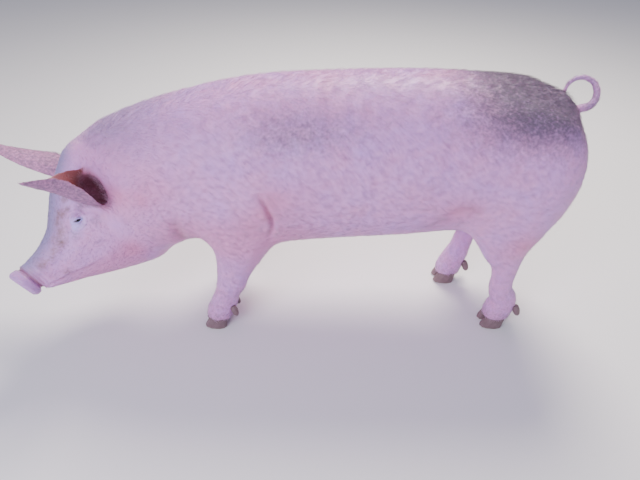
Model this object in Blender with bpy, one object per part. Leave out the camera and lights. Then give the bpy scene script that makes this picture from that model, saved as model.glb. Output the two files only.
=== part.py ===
"""A young sow of a Landrace and Large White cross, standing with its head lowered and turned to its left.

Frame: metres, +Z up, the sow faces -X and its left side is -Y. The origin is on the floor, under the
middle of the body's box.

The flesh is modelled whole: ribs are lofted into the trunk, neck and head, ellipsoids and tapering
limbs stand for the hams, shoulders and legs, and a voxel remesh with smoothing makes one body of them.
Thin cuts then part it where a person would name its parts. Ears, tail, snout, eyes and claws are
modelled on their own and let into the flesh with the same thin gap.
"""

import math

import bmesh
import bpy
import numpy as np
from mathutils import Matrix, Vector

# ---------------------------------------------------------------- driving dimensions, in metres
GAP = 0.0003  # left between two parts that touch
VOXEL = 0.009  # size of the cells that fuse the forms into one body
BLEND_PASSES = 10  # smoothing passes that melt the forms together
BODY_TRIANGLES = 2340  # what the fused body is thinned to before it is parted
RING_POINTS = 40
STEPS_PER_RIB = 4
SHARP_ANGLE = math.radians(40)  # edges sharper than this stay crisp where a part is shaded

EYE_LINE = Vector((-0.593, -0.084, 0.335))  # point midway between the eyes
NECK_DROP = math.radians(30)  # the neck's slope below level
HEAD_TURN = math.radians(50)  # towards the sow's left, about the neck's own upright
EYE_SPREAD = 0.0585  # from the middle of the head to each eye's centre
EYE_RADIUS = 0.013

SNOUT_REACH = 0.172  # from the eye line to the snout's rim
SNOUT_DROP = -0.038  # the disc's middle, from the eye line
SNOUT_HEIGHT = 0.074
SNOUT_WIDTH = 0.084
SNOUT_ROWS = (  # forward of the rim, and size against the rim's
    (-0.046, 0.86),
    (-0.012, 0.88),
    (-0.005, 0.97),
    (0.001, 1.0),
    (0.005, 0.96),
    (0.008, 0.80),
)
SNOUT_TILT = math.radians(4)  # the disc's top leans forward

EAR_POINTS = 8
EAR_ROWS = [  # along the ear, half width, depth of the cup, rise of the spine, thickness
    (-0.20, 0.026, 0.030, 0.000, 0.0100),
    (0.00, 0.042, 0.042, 0.000, 0.0090),
    (0.25, 0.053, 0.040, 0.002, 0.0070),
    (0.50, 0.048, 0.028, 0.006, 0.0060),
    (0.75, 0.032, 0.015, 0.008, 0.0055),
    (0.93, 0.014, 0.006, 0.006, 0.0050),
    (1.00, 0.005, 0.002, 0.004, 0.0045),
]
CONCHA_FORWARD, CONCHA_OUT = 0.004, -0.010  # from the ear's root, along the ear and out of its opening
EAR_ROLLED = 0.72  # share of the ear's length over which its opening rolls round
EARS = {  # root, direction and opening in the head's frame, length, roll at the root and tip, concha's radii
    "left": ((-0.086, 0.104, 0.026), (0.127, 0.086, 0.1215), (-0.40, 0.56, 0.62), 0.206, (-44, 46),
             (0.054, 0.040, 0.026)),
    "right": ((-0.085, -0.080, 0.054), (0.30, -0.44, 0.84), (0.80, -0.45, -0.40), 0.205, (0, 0),
              (0.040, 0.027, 0.024)),
}

TAIL_CENTRE = Vector((0.578, 0.020, 0.602))  # of the tail's one ring
TAIL_CURL = 0.034  # radius of the ring, to the middle of the tail
TAIL_UPRIGHT = Vector((0, 0.40, 0.917))  # the ring's own up
TAIL_THICK = 0.0105  # radius at the root
TAIL_TIP = 0.0045

TAIL_STEPS = 18

CLAW_SPREAD = 0.0175  # from the foot's middle to each main claw's
CLAW_ROWS = [  # height, middle fore and aft, half length, half width
    (0.000, -0.008, 0.028, 0.0130),
    (0.005, -0.009, 0.030, 0.0150),
    (0.034, 0.000, 0.024, 0.0152),
    (0.050, 0.006, 0.018, 0.0120),
]
DEWCLAW_BACK = 0.042
DEWCLAW_HEIGHT = 0.078

FINISHES = {  # colour and roughness by the first word of a part's name
    "skin": ((0.62, 0.40, 0.38), 0.55),
    "ear": ((0.58, 0.34, 0.33), 0.55),
    "snout": ((0.58, 0.32, 0.33), 0.45),
    "eye": ((0.03, 0.02, 0.02), 0.08),
    "claw": ((0.16, 0.12, 0.11), 0.50),
    "dewclaw": ((0.16, 0.12, 0.11), 0.50),
}

MOUTH_CORNER = (0.012, 0, -0.106)  # where the mouth's line meets the angle of the jaw, in the head's frame
MOUTH_RISE = math.radians(-14)

# The parting of each pair of limbs: middle of the plug (x, z) and its half sizes, how far from the
# body's middle it starts, the top and the ends along X of the leg's block, and where that block starts
SHOULDER_CUT = ((-0.200, 0.400), (0.112, 0.175), 0.085, 0.262, (-0.34, -0.10), 0.034)
THIGH_CUT = ((0.462, 0.415), (0.150, 0.170), 0.078, 0.285, (0.31, 0.66), 0.030)

LEFT, RIGHT = -1, 1  # the side's sign along Y
SIDE_NAMES = {LEFT: "left", RIGHT: "right"}


def head_frame():
    """Matrix of the head's own frame: X to the snout, Y to the sow's left, Z to the crown."""
    neck = Vector((-math.cos(NECK_DROP), 0, -math.sin(NECK_DROP)))
    crown = Vector((-math.sin(NECK_DROP), 0, math.cos(NECK_DROP)))
    forward = neck * math.cos(HEAD_TURN) + Vector((0, -1, 0)) * math.sin(HEAD_TURN)
    frame = Matrix((forward, crown.cross(forward), crown)).transposed().to_4x4()
    frame.translation = EYE_LINE
    return frame


HEAD = head_frame()


# ---------------------------------------------------------------- tools
def between(rows, steps=STEPS_PER_RIB):
    """Rows of numbers with a smooth curve's values put in between them (Catmull-Rom)."""
    rows = np.array(rows, float)
    padded = np.vstack([2 * rows[0] - rows[1], rows, 2 * rows[-1] - rows[-2]])
    out = []
    for i in range(1, len(padded) - 2):
        a, b, c, d = padded[i - 1 : i + 3]
        for t in np.arange(steps) / steps:
            out.append(
                b
                + 0.5 * t * (c - a)
                + t**2 * (a - 2.5 * b + 2 * c - 0.5 * d)
                + 0.5 * t**3 * (3 * (b - c) + d - a)
            )
    return np.array(out + [rows[-1]])


def add_ring(bm, centre, side, up, half_side, half_up, fullness=2.0, pear=0.0, points=RING_POINTS):
    """A closed oval of edges: fullness 2 is an ellipse and more is squarer, pear above 0 is wider below."""
    verts = []
    for i in range(points):
        c = math.cos(2 * math.pi * i / points)
        s = math.sin(2 * math.pi * i / points)
        across = math.copysign(abs(c) ** (2 / fullness), c) * (1 - pear * s)
        high = math.copysign(abs(s) ** (2 / fullness), s)
        verts.append(bm.verts.new(centre + side * half_side * across + up * half_up * high))
    return [bm.edges.new((verts[i - 1], verts[i])) for i in range(points)]


def skin_rings(bm, rings):
    """Bridges each ring to the next and fills the two ends."""
    for near, far in zip(rings, rings[1:]):
        bmesh.ops.bridge_loops(bm, edges=near + far)
    bmesh.ops.holes_fill(bm, edges=rings[0] + rings[-1], sides=0)
    bmesh.ops.recalc_face_normals(bm, faces=bm.faces)
    if bm.calc_volume(signed=True) < 0:
        bmesh.ops.reverse_faces(bm, faces=bm.faces)


def object_of(bm, name):
    mesh = bpy.data.meshes.new(name)
    bm.to_mesh(mesh)
    bm.free()
    obj = bpy.data.objects.new(name, mesh)
    bpy.context.scene.collection.objects.link(obj)
    return obj


def loft_ribs(name, ribs, frame=Matrix(), fullness=2.1):
    """A body through ribs of (back x, y, z, belly x, y, z, half width, heading in degrees, pear)."""
    bm = bmesh.new()
    rings = []
    for row in between(ribs):
        top, bottom = Vector(row[:3]), Vector(row[3:6])
        half_width, heading, pear = row[6], math.radians(row[7]), row[8]
        up = (top - bottom).normalized()
        side = Vector((math.sin(heading), math.cos(heading), 0))
        side = (side - up * side.dot(up)).normalized()
        half_up = (top - bottom).length / 2
        rings.append(add_ring(bm, (top + bottom) / 2, side, up, half_width, half_up, fullness, pear))
    skin_rings(bm, rings)
    bm.transform(frame)
    return object_of(bm, name)


def loft_limb(name, rows, side=1, points=24, fullness=2.2):
    """A limb through rows of (x, y outwards, z, half length fore and aft, half width)."""
    bm = bmesh.new()
    rows = between(rows, 3)
    centres = [Vector((x, y * side, z)) for x, y, z, _, _ in rows]
    rings = []
    for i, (centre, (_, _, _, half_length, half_width)) in enumerate(zip(centres, rows)):
        along = centres[min(i + 1, len(centres) - 1)] - centres[max(i - 1, 0)]
        across = Vector((0, 1, 0))
        fore = across.cross(along).normalized()
        rings.append(add_ring(bm, centre, fore, across, half_length, half_width, fullness, points=points))
    skin_rings(bm, rings)
    return object_of(bm, name)


def ellipsoid(name, centre, radii, turn=Matrix(), segments=32):
    bm = bmesh.new()
    bmesh.ops.create_uvsphere(bm, u_segments=segments, v_segments=segments * 5 // 8, radius=1)
    bm.transform(Matrix.Translation(centre) @ turn @ Matrix.Diagonal((*radii, 1)))
    return object_of(bm, name)


def box(name, low, high, frame=Matrix()):
    """A block between two corners, stated in a frame of its own."""
    bm = bmesh.new()
    bmesh.ops.create_cube(bm, size=1)
    low, high = Vector(low), Vector(high)
    bm.transform(frame @ Matrix.Translation((low + high) / 2) @ Matrix.Diagonal((*(high - low), 1)))
    return object_of(bm, name)


def plane_cutter(place, normal, size=1.0, grow=0.0):
    """A block whose flat face lies at a place, with the block on the normal's side."""
    frame = Matrix.Translation(place) @ Vector(normal).to_track_quat("Z", "Y").to_matrix().to_4x4()
    return box("block", (-size / 2, -size / 2, -grow), (size / 2, size / 2, size), frame)


def bake(obj):
    """Replaces an object's mesh by what its modifiers make of it."""
    graph = bpy.context.evaluated_depsgraph_get()
    mesh = bpy.data.meshes.new_from_object(obj.evaluated_get(graph))
    obj.modifiers.clear()
    obj.data = mesh
    return obj


def copy_of(obj, name):
    twin = obj.copy()
    twin.data = obj.data.copy()
    twin.name = name
    bpy.context.scene.collection.objects.link(twin)
    return twin


def boolean(obj, cutter, operation):
    modifier = obj.modifiers.new("cut", "BOOLEAN")
    modifier.object = cutter
    modifier.operation = operation
    modifier.solver = "EXACT"
    return bake(obj)


def grown(obj, by=GAP):
    """A copy whose surface stands out by the gap, to cut a clearance with."""
    twin = copy_of(obj, obj.name + ".grown")
    bm = bmesh.new()
    bm.from_mesh(twin.data)
    bm.normal_update()
    for vert in bm.verts:
        vert.co += vert.normal * by * vert.calc_shell_factor()
    bm.to_mesh(twin.data)
    bm.free()
    return twin


def drop(*objects):
    for obj in objects:
        bpy.data.objects.remove(obj)


def let_into(obj, neighbour):
    """Cuts a neighbour's shape out of an object, with the gap between them."""
    cutter = grown(neighbour)
    boolean(obj, cutter, "DIFFERENCE")
    drop(cutter)
    return obj


# ---------------------------------------------------------------- trunk and neck
def trunk_form():
    """Ribs from the rump to the back of the head. The neck drops and swings to the sow's left."""
    ribs = [
        (0.580, 0, 0.550, 0.582, 0, 0.480, 0.055, 0, 0),
        (0.558, 0, 0.587, 0.572, 0, 0.425, 0.100, 0, 0),
        (0.512, 0, 0.622, 0.540, 0, 0.380, 0.130, 0, 0),
        (0.400, 0, 0.650, 0.445, 0, 0.325, 0.165, 0, 0),
        (0.250, 0, 0.660, 0.280, 0, 0.270, 0.171, 0, 0.02),
        (0.100, 0, 0.662, 0.110, 0, 0.252, 0.174, 0, 0.03),
        (-0.050, 0, 0.657, -0.050, 0, 0.250, 0.176, 0, 0.03),
        (-0.190, 0, 0.640, -0.180, 0, 0.253, 0.170, 0, 0.03),
        (-0.320, 0.004, 0.612, -0.270, -0.004, 0.258, 0.156, 4, 0.02),
        (-0.428, 0.012, 0.578, -0.335, -0.018, 0.236, 0.136, 12, 0.02),
        (-0.512, 0.026, 0.541, -0.385, -0.030, 0.212, 0.122, 26, 0.04),
        (-0.582, 0.032, 0.500, -0.430, -0.034, 0.206, 0.108, 42, 0.08),
    ]
    return loft_ribs("trunk_form", ribs)


def nape_form():
    """Fills the stretched side of the neck, behind the right ear and cheek."""
    turn = Matrix.Rotation(math.radians(25), 4, "Z")
    return ellipsoid("nape_form", (-0.470, 0.036, 0.372), (0.170, 0.073, 0.150), turn)


def ham_form(side):
    turn = Matrix.Rotation(math.radians(10), 4, "Y")
    return ellipsoid("ham_form", (0.450, side * 0.094, 0.438), (0.136, 0.080, 0.182), turn)


def shoulder_form(side):
    turn = Matrix.Rotation(math.radians(-14), 4, "Y")
    return ellipsoid("shoulder_form", (-0.205, side * 0.105, 0.400), (0.110, 0.066, 0.180), turn)


# ---------------------------------------------------------------- head
def head_form():
    """Ribs in the head's own frame, from inside the neck, over the poll, brow and stop, to the muzzle."""
    ribs = [
        (-0.150, 0.028, 0.108, -0.170, 0.060, -0.205, 0.098, 26, 0.08),
        (-0.098, 0.006, 0.116, -0.125, 0.024, -0.226, 0.103, 14, 0.14),
        (-0.048, 0, 0.098, -0.075, 0.004, -0.224, 0.101, 3, 0.18),
        (-0.010, 0, 0.071, -0.028, 0, -0.197, 0.091, 0, 0.18),
        (0.020, 0, 0.044, 0.010, 0, -0.174, 0.079, 0, 0.16),
        (0.053, 0, 0.016, 0.047, 0, -0.149, 0.066, 0, 0.12),
        (0.086, 0, 0.002, 0.080, 0, -0.127, 0.054, 0, 0.08),
        (0.115, 0, -0.003, 0.108, 0, -0.110, 0.045, 0, 0.04),
        (0.140, 0, -0.004, 0.131, 0, -0.096, 0.039, 0, 0),
        (0.164, 0, -0.003, 0.150, 0, -0.084, 0.037, 0, 0),
    ]
    return loft_ribs("head_form", ribs, HEAD)


def muzzle_end(grow=0.0):
    """A block that holds everything in front of where the snout joins the muzzle."""
    place = HEAD @ Vector((SNOUT_REACH - 0.030, 0, 0))
    return plane_cutter(place, HEAD.to_3x3() @ Vector((1, 0, 0.144)), 0.2, grow)


def snout_solid():
    """The disc at the muzzle's end: a neck, a rolled rim, and a face with two nostrils let in."""
    bm = bmesh.new()
    rings = []
    for forward, size in SNOUT_ROWS:
        lean = forward * math.cos(SNOUT_TILT)
        centre = Vector((SNOUT_REACH + lean, 0, SNOUT_DROP))
        up = Vector((math.sin(SNOUT_TILT), 0, math.cos(SNOUT_TILT)))
        half_width, half_height = SNOUT_WIDTH / 2 * size, SNOUT_HEIGHT / 2 * size
        rings.append(add_ring(bm, centre, Vector((0, 1, 0)), up, half_width, half_height, 2.3, 0, 20))
    skin_rings(bm, rings)
    bm.transform(HEAD)
    snout = object_of(bm, "snout")
    for side in (1, -1):
        place = Vector((SNOUT_REACH + 0.010, side * 0.0165, SNOUT_DROP + 0.001))
        nostril = ellipsoid("nostril", (0, 0, 0), (0.014, 0.0075, 0.0095), segments=10)
        nostril.data.transform(HEAD @ Matrix.Translation(place))
        boolean(snout, nostril, "DIFFERENCE")
        drop(nostril)
    front = muzzle_end()
    boolean(snout, front, "INTERSECT")
    drop(front)
    return snout


def eye_solid(name, side):
    place = HEAD @ Vector((0, side * EYE_SPREAD, 0))
    return ellipsoid(name, place, (EYE_RADIUS,) * 3, segments=12)


def ear_axes(direction, opening, roll):
    """Along an ear and out of its opening, which rolls round the ear by an angle in degrees."""
    along = Vector(direction).normalized()
    face = Vector(opening)
    face = (face - along * face.dot(along)).normalized()
    return along, Matrix.Rotation(math.radians(roll), 3, along) @ face


def concha_cutter(base, direction, opening, roll, radii):
    """The hollow at an ear's root, scooped out of the head and neck."""
    along, face = ear_axes(direction, opening, roll)
    turn = Matrix((along, face.cross(along), face)).transposed().to_4x4()
    place = Vector(base) + along * CONCHA_FORWARD + face * CONCHA_OUT
    hollow = ellipsoid("concha", place, radii, turn, segments=14)
    hollow.data.transform(HEAD)
    return hollow


def ear_solid(name, base, direction, opening, length, rolls):
    """A leaf curled along its length into a scoop. Base, direction and opening are in the head's frame."""
    rows = between(EAR_ROWS, 2)
    bm = bmesh.new()
    sheets = []
    for t, half_width, cup, bend, thick in rows:
        share = min(max(t / EAR_ROLLED, 0), 1)
        along, face = ear_axes(direction, opening, rolls[0] + (rolls[1] - rolls[0]) * share)
        across = along.cross(face)
        spine = Vector(base) + along * length * t + face * bend
        row = []
        for depth, order in ((-thick / 2, 1), (thick / 2, -1)):
            for i in range(EAR_POINTS)[::order]:
                s = 2 * i / (EAR_POINTS - 1) - 1
                taper = 1 - 0.55 * s**4
                normal = (face * half_width + across * -2 * cup * s).normalized()
                point = spine + across * half_width * s - face * cup * (1 - s * s) + normal * depth * taper
                row.append(bm.verts.new(point))
        sheets.append([bm.edges.new((row[i - 1], row[i])) for i in range(len(row))])
    skin_rings(bm, sheets)
    bm.transform(HEAD)
    return object_of(bm, name)


# ---------------------------------------------------------------- legs
def foreleg_rows(hoof_x, hoof_y):
    """From inside the shoulder, past the elbow and the knee, to the claws."""
    elbow_x = -0.185
    return [
        (elbow_x + 0.005, 0.110, 0.400, 0.095, 0.050),
        (elbow_x + 0.000, 0.116, 0.300, 0.074, 0.050),
        (elbow_x - 0.012, 0.116, 0.250, 0.060, 0.043),
        (elbow_x - 0.028, 0.112, 0.200, 0.047, 0.037),
        (elbow_x - 0.040, 0.108, 0.155, 0.042, 0.037),
        (hoof_x + 0.032, hoof_y, 0.115, 0.033, 0.031),
        (hoof_x + 0.023, hoof_y, 0.085, 0.037, 0.035),
        (hoof_x + 0.012, hoof_y, 0.060, 0.037, 0.037),
        (hoof_x + 0.003, hoof_y, 0.038, 0.038, 0.038),
        (hoof_x + 0.002, hoof_y, 0.024, 0.034, 0.034),
    ]


def hindleg_rows(stifle_x, hock_x, hoof_x, hoof_y):
    """From inside the ham, past the stifle and the hock, to the claws."""
    return [
        (stifle_x, 0.105, 0.400, 0.130, 0.065),
        (stifle_x + 0.012, 0.112, 0.325, 0.092, 0.056),
        (hock_x - 0.022, 0.114, 0.270, 0.062, 0.042),
        (hock_x - 0.002, 0.110, 0.225, 0.043, 0.032),
        (hock_x + 0.002, 0.106, 0.185, 0.033, 0.028),
        (hock_x * 0.6 + hoof_x * 0.4, hoof_y, 0.125, 0.031, 0.029),
        (hoof_x + 0.016, hoof_y, 0.085, 0.036, 0.034),
        (hoof_x + 0.008, hoof_y, 0.060, 0.036, 0.036),
        (hoof_x + 0.001, hoof_y, 0.038, 0.038, 0.038),
        (hoof_x + 0.000, hoof_y, 0.024, 0.034, 0.034),
    ]


FOOT_PLACES = {
    "front": {LEFT: (-0.272, 0.100), RIGHT: (-0.262, 0.085)},
    "hind": {LEFT: (0.470, 0.100), RIGHT: (0.375, 0.080)},
}


def leg_forms():
    forms = []
    for side in (LEFT, RIGHT):
        forms.append(loft_limb("foreleg", foreleg_rows(*FOOT_PLACES["front"][side]), side))
        hoof_x, hoof_y = FOOT_PLACES["hind"][side]
        hock_x = hoof_x + (-0.008 if side == LEFT else 0.045)
        forms.append(loft_limb("hindleg", hindleg_rows(0.430, hock_x, hoof_x, hoof_y), side))
    return forms


def claw_solid(name, foot, side, half):
    """One of a foot's two main claws: a flat sole, a sloping toe and a coronet let into the leg."""
    x, y = foot
    bm = bmesh.new()
    rings = []
    for height, back, half_length, half_width in CLAW_ROWS:
        centre = Vector((back, 0, height))
        fore, across = Vector((-1, 0, 0)), Vector((0, 1, 0))
        rings.append(add_ring(bm, centre, fore, across, half_length, half_width, 2.3, 0, 10))
    skin_rings(bm, rings)
    turn = Matrix.Rotation(math.radians(5) * half, 4, "Z")
    bm.transform(Matrix.Translation((x, side * y + half * CLAW_SPREAD, 0)) @ turn)
    return object_of(bm, name)


def dewclaw_solid(name, foot, side, half):
    """A small claw behind and above the main ones."""
    x, y = foot
    bm = bmesh.new()
    rings = []
    for down, size in ((0.0, 0.80), (0.014, 1.0), (0.025, 0.80), (0.031, 0.35)):
        centre = Vector((down * 0.35, half * down * 0.15, -down))
        flat = Vector((1, 0, 0.35)).normalized()
        rings.append(add_ring(bm, centre, flat, Vector((0, 1, 0)), 0.0100 * size, 0.0085 * size, 2, 0, 8))
    skin_rings(bm, rings)
    bm.transform(Matrix.Translation((x + DEWCLAW_BACK, side * y + half * 0.018, DEWCLAW_HEIGHT)))
    return object_of(bm, name)


# ---------------------------------------------------------------- tail
def tail_path():
    """Rows of (place, radius): out of the rump, round one ring, to a free tip."""
    rows = [(Vector((0.540, 0.004, 0.552)), TAIL_THICK * 1.25)]
    for i in range(TAIL_STEPS + 1):
        t = i / TAIL_STEPS
        angle = math.radians(-95 + 290 * t)
        curl = TAIL_CURL * (1 - 0.10 * t)
        aside = Vector((0, 0.917, -0.40)) * (-0.010 + 0.030 * t)
        round_ring = Vector((math.cos(angle), 0, 0)) + TAIL_UPRIGHT * math.sin(angle)
        rows.append((TAIL_CENTRE + round_ring * curl + aside, TAIL_THICK * (1 - t) + TAIL_TIP * t))
    return rows


def tail_solid():
    bm = bmesh.new()
    rows = tail_path()
    rings = []
    across = Vector((0, 0.917, -0.40))
    for i, (place, radius) in enumerate(rows):
        along = rows[min(i + 1, len(rows) - 1)][0] - rows[max(i - 1, 0)][0]
        side = along.cross(across).normalized()
        up = side.cross(along).normalized()
        rings.append(add_ring(bm, place, side, up, radius, radius, 2, 0, 8))
    skin_rings(bm, rings)
    return object_of(bm, "tail")


# ---------------------------------------------------------------- the whole body
def fuse(forms):
    """One skin round all the forms: joined, remeshed in small cells, and smoothed."""
    whole = bmesh.new()
    for form in forms:
        whole.from_mesh(form.data)
    drop(*forms)
    body = object_of(whole, "body")
    remesh = body.modifiers.new("fuse", "REMESH")
    remesh.mode = "VOXEL"
    remesh.voxel_size = VOXEL
    smooth = body.modifiers.new("blend", "SMOOTH")
    smooth.factor = 0.5
    smooth.iterations = BLEND_PASSES
    return bake(body)


# ---------------------------------------------------------------- parting the body
def thin(obj, triangles):
    """Thins a mesh to about this many triangles, where it is flattest first."""
    obj.modifiers.new("triangulate", "TRIANGULATE")
    bake(obj)
    modifier = obj.modifiers.new("thin", "DECIMATE")
    modifier.ratio = triangles / len(obj.data.polygons)
    return bake(obj)


def keep_largest(obj):
    """Removes crumbs that a cut left, keeping the piece with the most vertices."""
    bm = bmesh.new()
    bm.from_mesh(obj.data)
    left = set(bm.verts)
    islands = []
    while left:
        stack = [left.pop()]
        island = set(stack)
        while stack:
            for edge in stack.pop().link_edges:
                for vert in edge.verts:
                    if vert not in island:
                        island.add(vert)
                        stack.append(vert)
        left -= island
        islands.append(island)
    islands.sort(key=len)
    for island in islands[:-1]:
        bmesh.ops.delete(bm, geom=list(island), context="VERTS")
    bm.to_mesh(obj.data)
    bm.free()
    return obj


def part_off(whole, name, cutter, *measures):
    """Takes the part inside a cutter off the whole, and leaves the gap between the two."""
    piece = copy_of(whole, name)
    inner = cutter(*measures)
    outer = cutter(*measures, grow=GAP)
    boolean(piece, inner, "INTERSECT")
    boolean(whole, outer, "DIFFERENCE")
    drop(inner, outer)
    return keep_largest(piece)


def jaw_cutter(grow=0.0):
    """A block under the mouth's line, back to the angle of the jaw."""
    frame = HEAD @ Matrix.Translation(MOUTH_CORNER) @ Matrix.Rotation(MOUTH_RISE, 4, "Y")
    return box("block", (-grow, -0.2, -0.2), (0.3, 0.2, grow), frame)


def limb_cutter(side, centre, radii, depth, block_top, block_ends, between_legs, grow=0.0):
    """An oval plug for the muscle in the body's side, joined to a block for the leg below the belly."""
    bm = bmesh.new()
    rings = []
    for y in (depth - grow, 0.40):
        middle = Vector((centre[0], side * y, centre[1]))
        half_length, half_height = radii[0] + grow, radii[1] + grow
        rings.append(
            add_ring(bm, middle, Vector((1, 0, 0)), Vector((0, 0, 1)), half_length, half_height, 2.2, 0, 18)
        )
    skin_rings(bm, rings)
    plug = object_of(bm, "plug")
    near, far = sorted((side * (between_legs - grow), side * 0.41))
    low, high = block_ends
    block = box("block", (low - grow, near, -0.1), (high + grow, far, block_top + grow))
    boolean(plug, block, "UNION")
    drop(block)
    return plug


def part_body(body):
    """Parts the fused body, from the snout back to the feet. What is left at the end is the trunk."""
    drop(part_off(body, "end", muzzle_end))
    nape = HEAD @ Vector((-0.095, 0, 0))
    head = part_off(body, "head", plane_cutter, nape, HEAD.to_3x3() @ Vector((1, 0, 0.25)), 0.6)
    jaw = part_off(head, "lower_jaw", jaw_cutter)
    neck = part_off(body, "neck", plane_cutter, (-0.335, 0, 0.45), (-1, 0, -0.22), 0.5)
    parts = [head, jaw, neck]
    for side in (LEFT, RIGHT):
        name = SIDE_NAMES[side]
        leg = part_off(body, "shoulder_" + name, limb_cutter, side, *SHOULDER_CUT)
        parts.append(part_off(leg, "foreleg_" + name, plane_cutter, (0, 0, 0.178), (0.1, 0, -1)))
        parts.append(leg)
        leg = part_off(body, "thigh_" + name, limb_cutter, side, *THIGH_CUT)
        parts.append(part_off(leg, "shank_" + name, plane_cutter, (0.45, 0, 0.222), (0.15, 0, -1)))
        parts.append(leg)
    body.name = "trunk"
    return parts + [keep_largest(body)]


# ---------------------------------------------------------------- finishing
def material_of(name, colour, roughness):
    material = bpy.data.materials.new(name)
    material.use_nodes = True
    shader = material.node_tree.nodes["Principled BSDF"]
    shader.inputs["Base Color"].default_value = (*colour, 1)
    shader.inputs["Roughness"].default_value = roughness
    return material


def finish():
    """Stands the sow on the origin and gives every part its own material."""
    objects = list(bpy.data.objects)
    corners = np.array([vert.co for obj in objects for vert in obj.data.vertices])
    low, high = corners.min(axis=0), corners.max(axis=0)
    shift = Matrix.Translation((-(low[0] + high[0]) / 2, -(low[1] + high[1]) / 2, -low[2]))
    print("shift", shift.translation, "size", high - low)
    for obj in objects:
        obj.data.transform(shift)
        kind = obj.name.split("_")[0]
        colour, roughness = FINISHES.get(kind, FINISHES["skin"])
        obj.data.shade_smooth()
        obj.data.set_sharp_from_angle(angle=SHARP_ANGLE)
        obj.data.materials.clear()
        obj.data.materials.append(material_of(obj.name, colour, roughness))


def main():
    for obj in list(bpy.data.objects):
        bpy.data.objects.remove(obj)
    forms = [trunk_form(), nape_form(), head_form()]
    forms += [form(side) for form in (ham_form, shoulder_form) for side in (LEFT, RIGHT)]
    forms += leg_forms()
    body = thin(fuse(forms), BODY_TRIANGLES)
    for name, (base, direction, opening, length, rolls, radii) in EARS.items():
        hollow = concha_cutter(base, direction, opening, rolls[0] / 2, radii)
        boolean(body, hollow, "DIFFERENCE")
        drop(hollow)
        ear = ear_solid("ear_" + name, base, direction, opening, length, rolls)
        keep_largest(let_into(ear, body))
    keep_largest(let_into(tail_solid(), body))
    parts = {part.name: part for part in part_body(body)}

    snout_solid()
    for side in (LEFT, RIGHT):
        name = SIDE_NAMES[side]
        let_into(parts["head"], eye_solid("eye_" + name, -side))
        for end, leg in (("front", "foreleg_"), ("hind", "shank_")):
            foot = FOOT_PLACES[end][side]
            for half, place in ((side, "outer"), (-side, "inner")):
                label = "_".join((end, name, place))
                let_into(parts[leg + name], claw_solid("claw_" + label, foot, side, half))
                let_into(parts[leg + name], dewclaw_solid("dewclaw_" + label, foot, side, half))
            keep_largest(parts[leg + name])
    finish()


main()
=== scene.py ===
# %% [markdown]
# # A young landrace sow, life-size
# The solids of the body are loaded first and never moved. They say how big the sow is, where each part
# lies and how it stands. Every later step dresses them: one skin over all the flesh, eyeballs, claws of
# horn, and a thin coat of bristles that lies back along the body.

import math

import bmesh
import bpy
import numpy as np
from mathutils import Matrix, Vector
from mathutils.bvhtree import BVHTree


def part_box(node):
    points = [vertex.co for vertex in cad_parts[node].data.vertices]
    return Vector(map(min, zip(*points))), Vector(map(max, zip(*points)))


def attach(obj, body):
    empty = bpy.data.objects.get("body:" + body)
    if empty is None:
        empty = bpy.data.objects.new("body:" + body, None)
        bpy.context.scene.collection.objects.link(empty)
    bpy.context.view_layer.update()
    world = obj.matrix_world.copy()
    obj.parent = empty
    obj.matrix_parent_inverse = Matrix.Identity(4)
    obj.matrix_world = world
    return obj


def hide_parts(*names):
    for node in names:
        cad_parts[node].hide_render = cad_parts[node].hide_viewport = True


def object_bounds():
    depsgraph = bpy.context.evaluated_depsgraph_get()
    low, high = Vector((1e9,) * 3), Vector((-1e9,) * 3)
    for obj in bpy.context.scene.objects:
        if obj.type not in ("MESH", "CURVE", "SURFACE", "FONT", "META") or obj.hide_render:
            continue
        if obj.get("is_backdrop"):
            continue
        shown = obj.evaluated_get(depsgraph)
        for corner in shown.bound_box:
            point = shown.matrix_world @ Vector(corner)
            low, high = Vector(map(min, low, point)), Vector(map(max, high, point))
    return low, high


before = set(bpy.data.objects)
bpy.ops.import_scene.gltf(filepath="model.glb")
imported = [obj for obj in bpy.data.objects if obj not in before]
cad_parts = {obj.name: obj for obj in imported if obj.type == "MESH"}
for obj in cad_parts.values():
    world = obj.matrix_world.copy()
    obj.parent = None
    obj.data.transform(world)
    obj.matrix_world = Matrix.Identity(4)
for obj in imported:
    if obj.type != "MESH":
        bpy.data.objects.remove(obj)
cad_low, cad_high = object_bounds()
MM = 0.001
print(len(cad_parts), "solids,", [round(side, 3) for side in cad_high - cad_low], "m")

# %% [markdown]
# ## Places on the body
# The head hangs from a sloping neck and is turned to the sow's left, so its wrinkles and lids are easier
# to place in a frame of its own: X to the snout, Y to its left, Z to the crown, and the origin midway
# between the eyes. The two eyeballs give that origin and the left, and the neck's slope gives the crown.

# %% The head's own frame
NECK_DROP = math.radians(30)


def middle_of(node):
    low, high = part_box(node)
    return (low + high) / 2


eye_left, eye_right = middle_of("eye_left"), middle_of("eye_right")
EYES = ((1, eye_left), (-1, eye_right))  # the side it is on, and its middle
EYE_RADIUS = (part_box("eye_left")[1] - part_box("eye_left")[0]).z / 2
crown = Vector((-math.sin(NECK_DROP), 0, math.cos(NECK_DROP)))
leftward = (eye_left - eye_right).normalized()
HEAD = Matrix((leftward.cross(crown), leftward, crown)).transposed().to_4x4()
HEAD.translation = (eye_left + eye_right) / 2
TURN = np.array(HEAD.to_3x3())
BODY_MIDDLE = middle_of("trunk").y  # the plane that splits the trunk into its two sides


def in_head(points):
    """World points, one a row, in the head's frame."""
    return (np.asarray(points) - np.array(HEAD.translation)) @ TURN


def from_head(*rows):
    """Points of the head's frame as world points."""
    return [HEAD @ Vector(row) for row in rows]


def metres(*rows):
    """Places given in millimetres, as places in metres."""
    return [tuple(value / 1000 for value in row) for row in rows]


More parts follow.
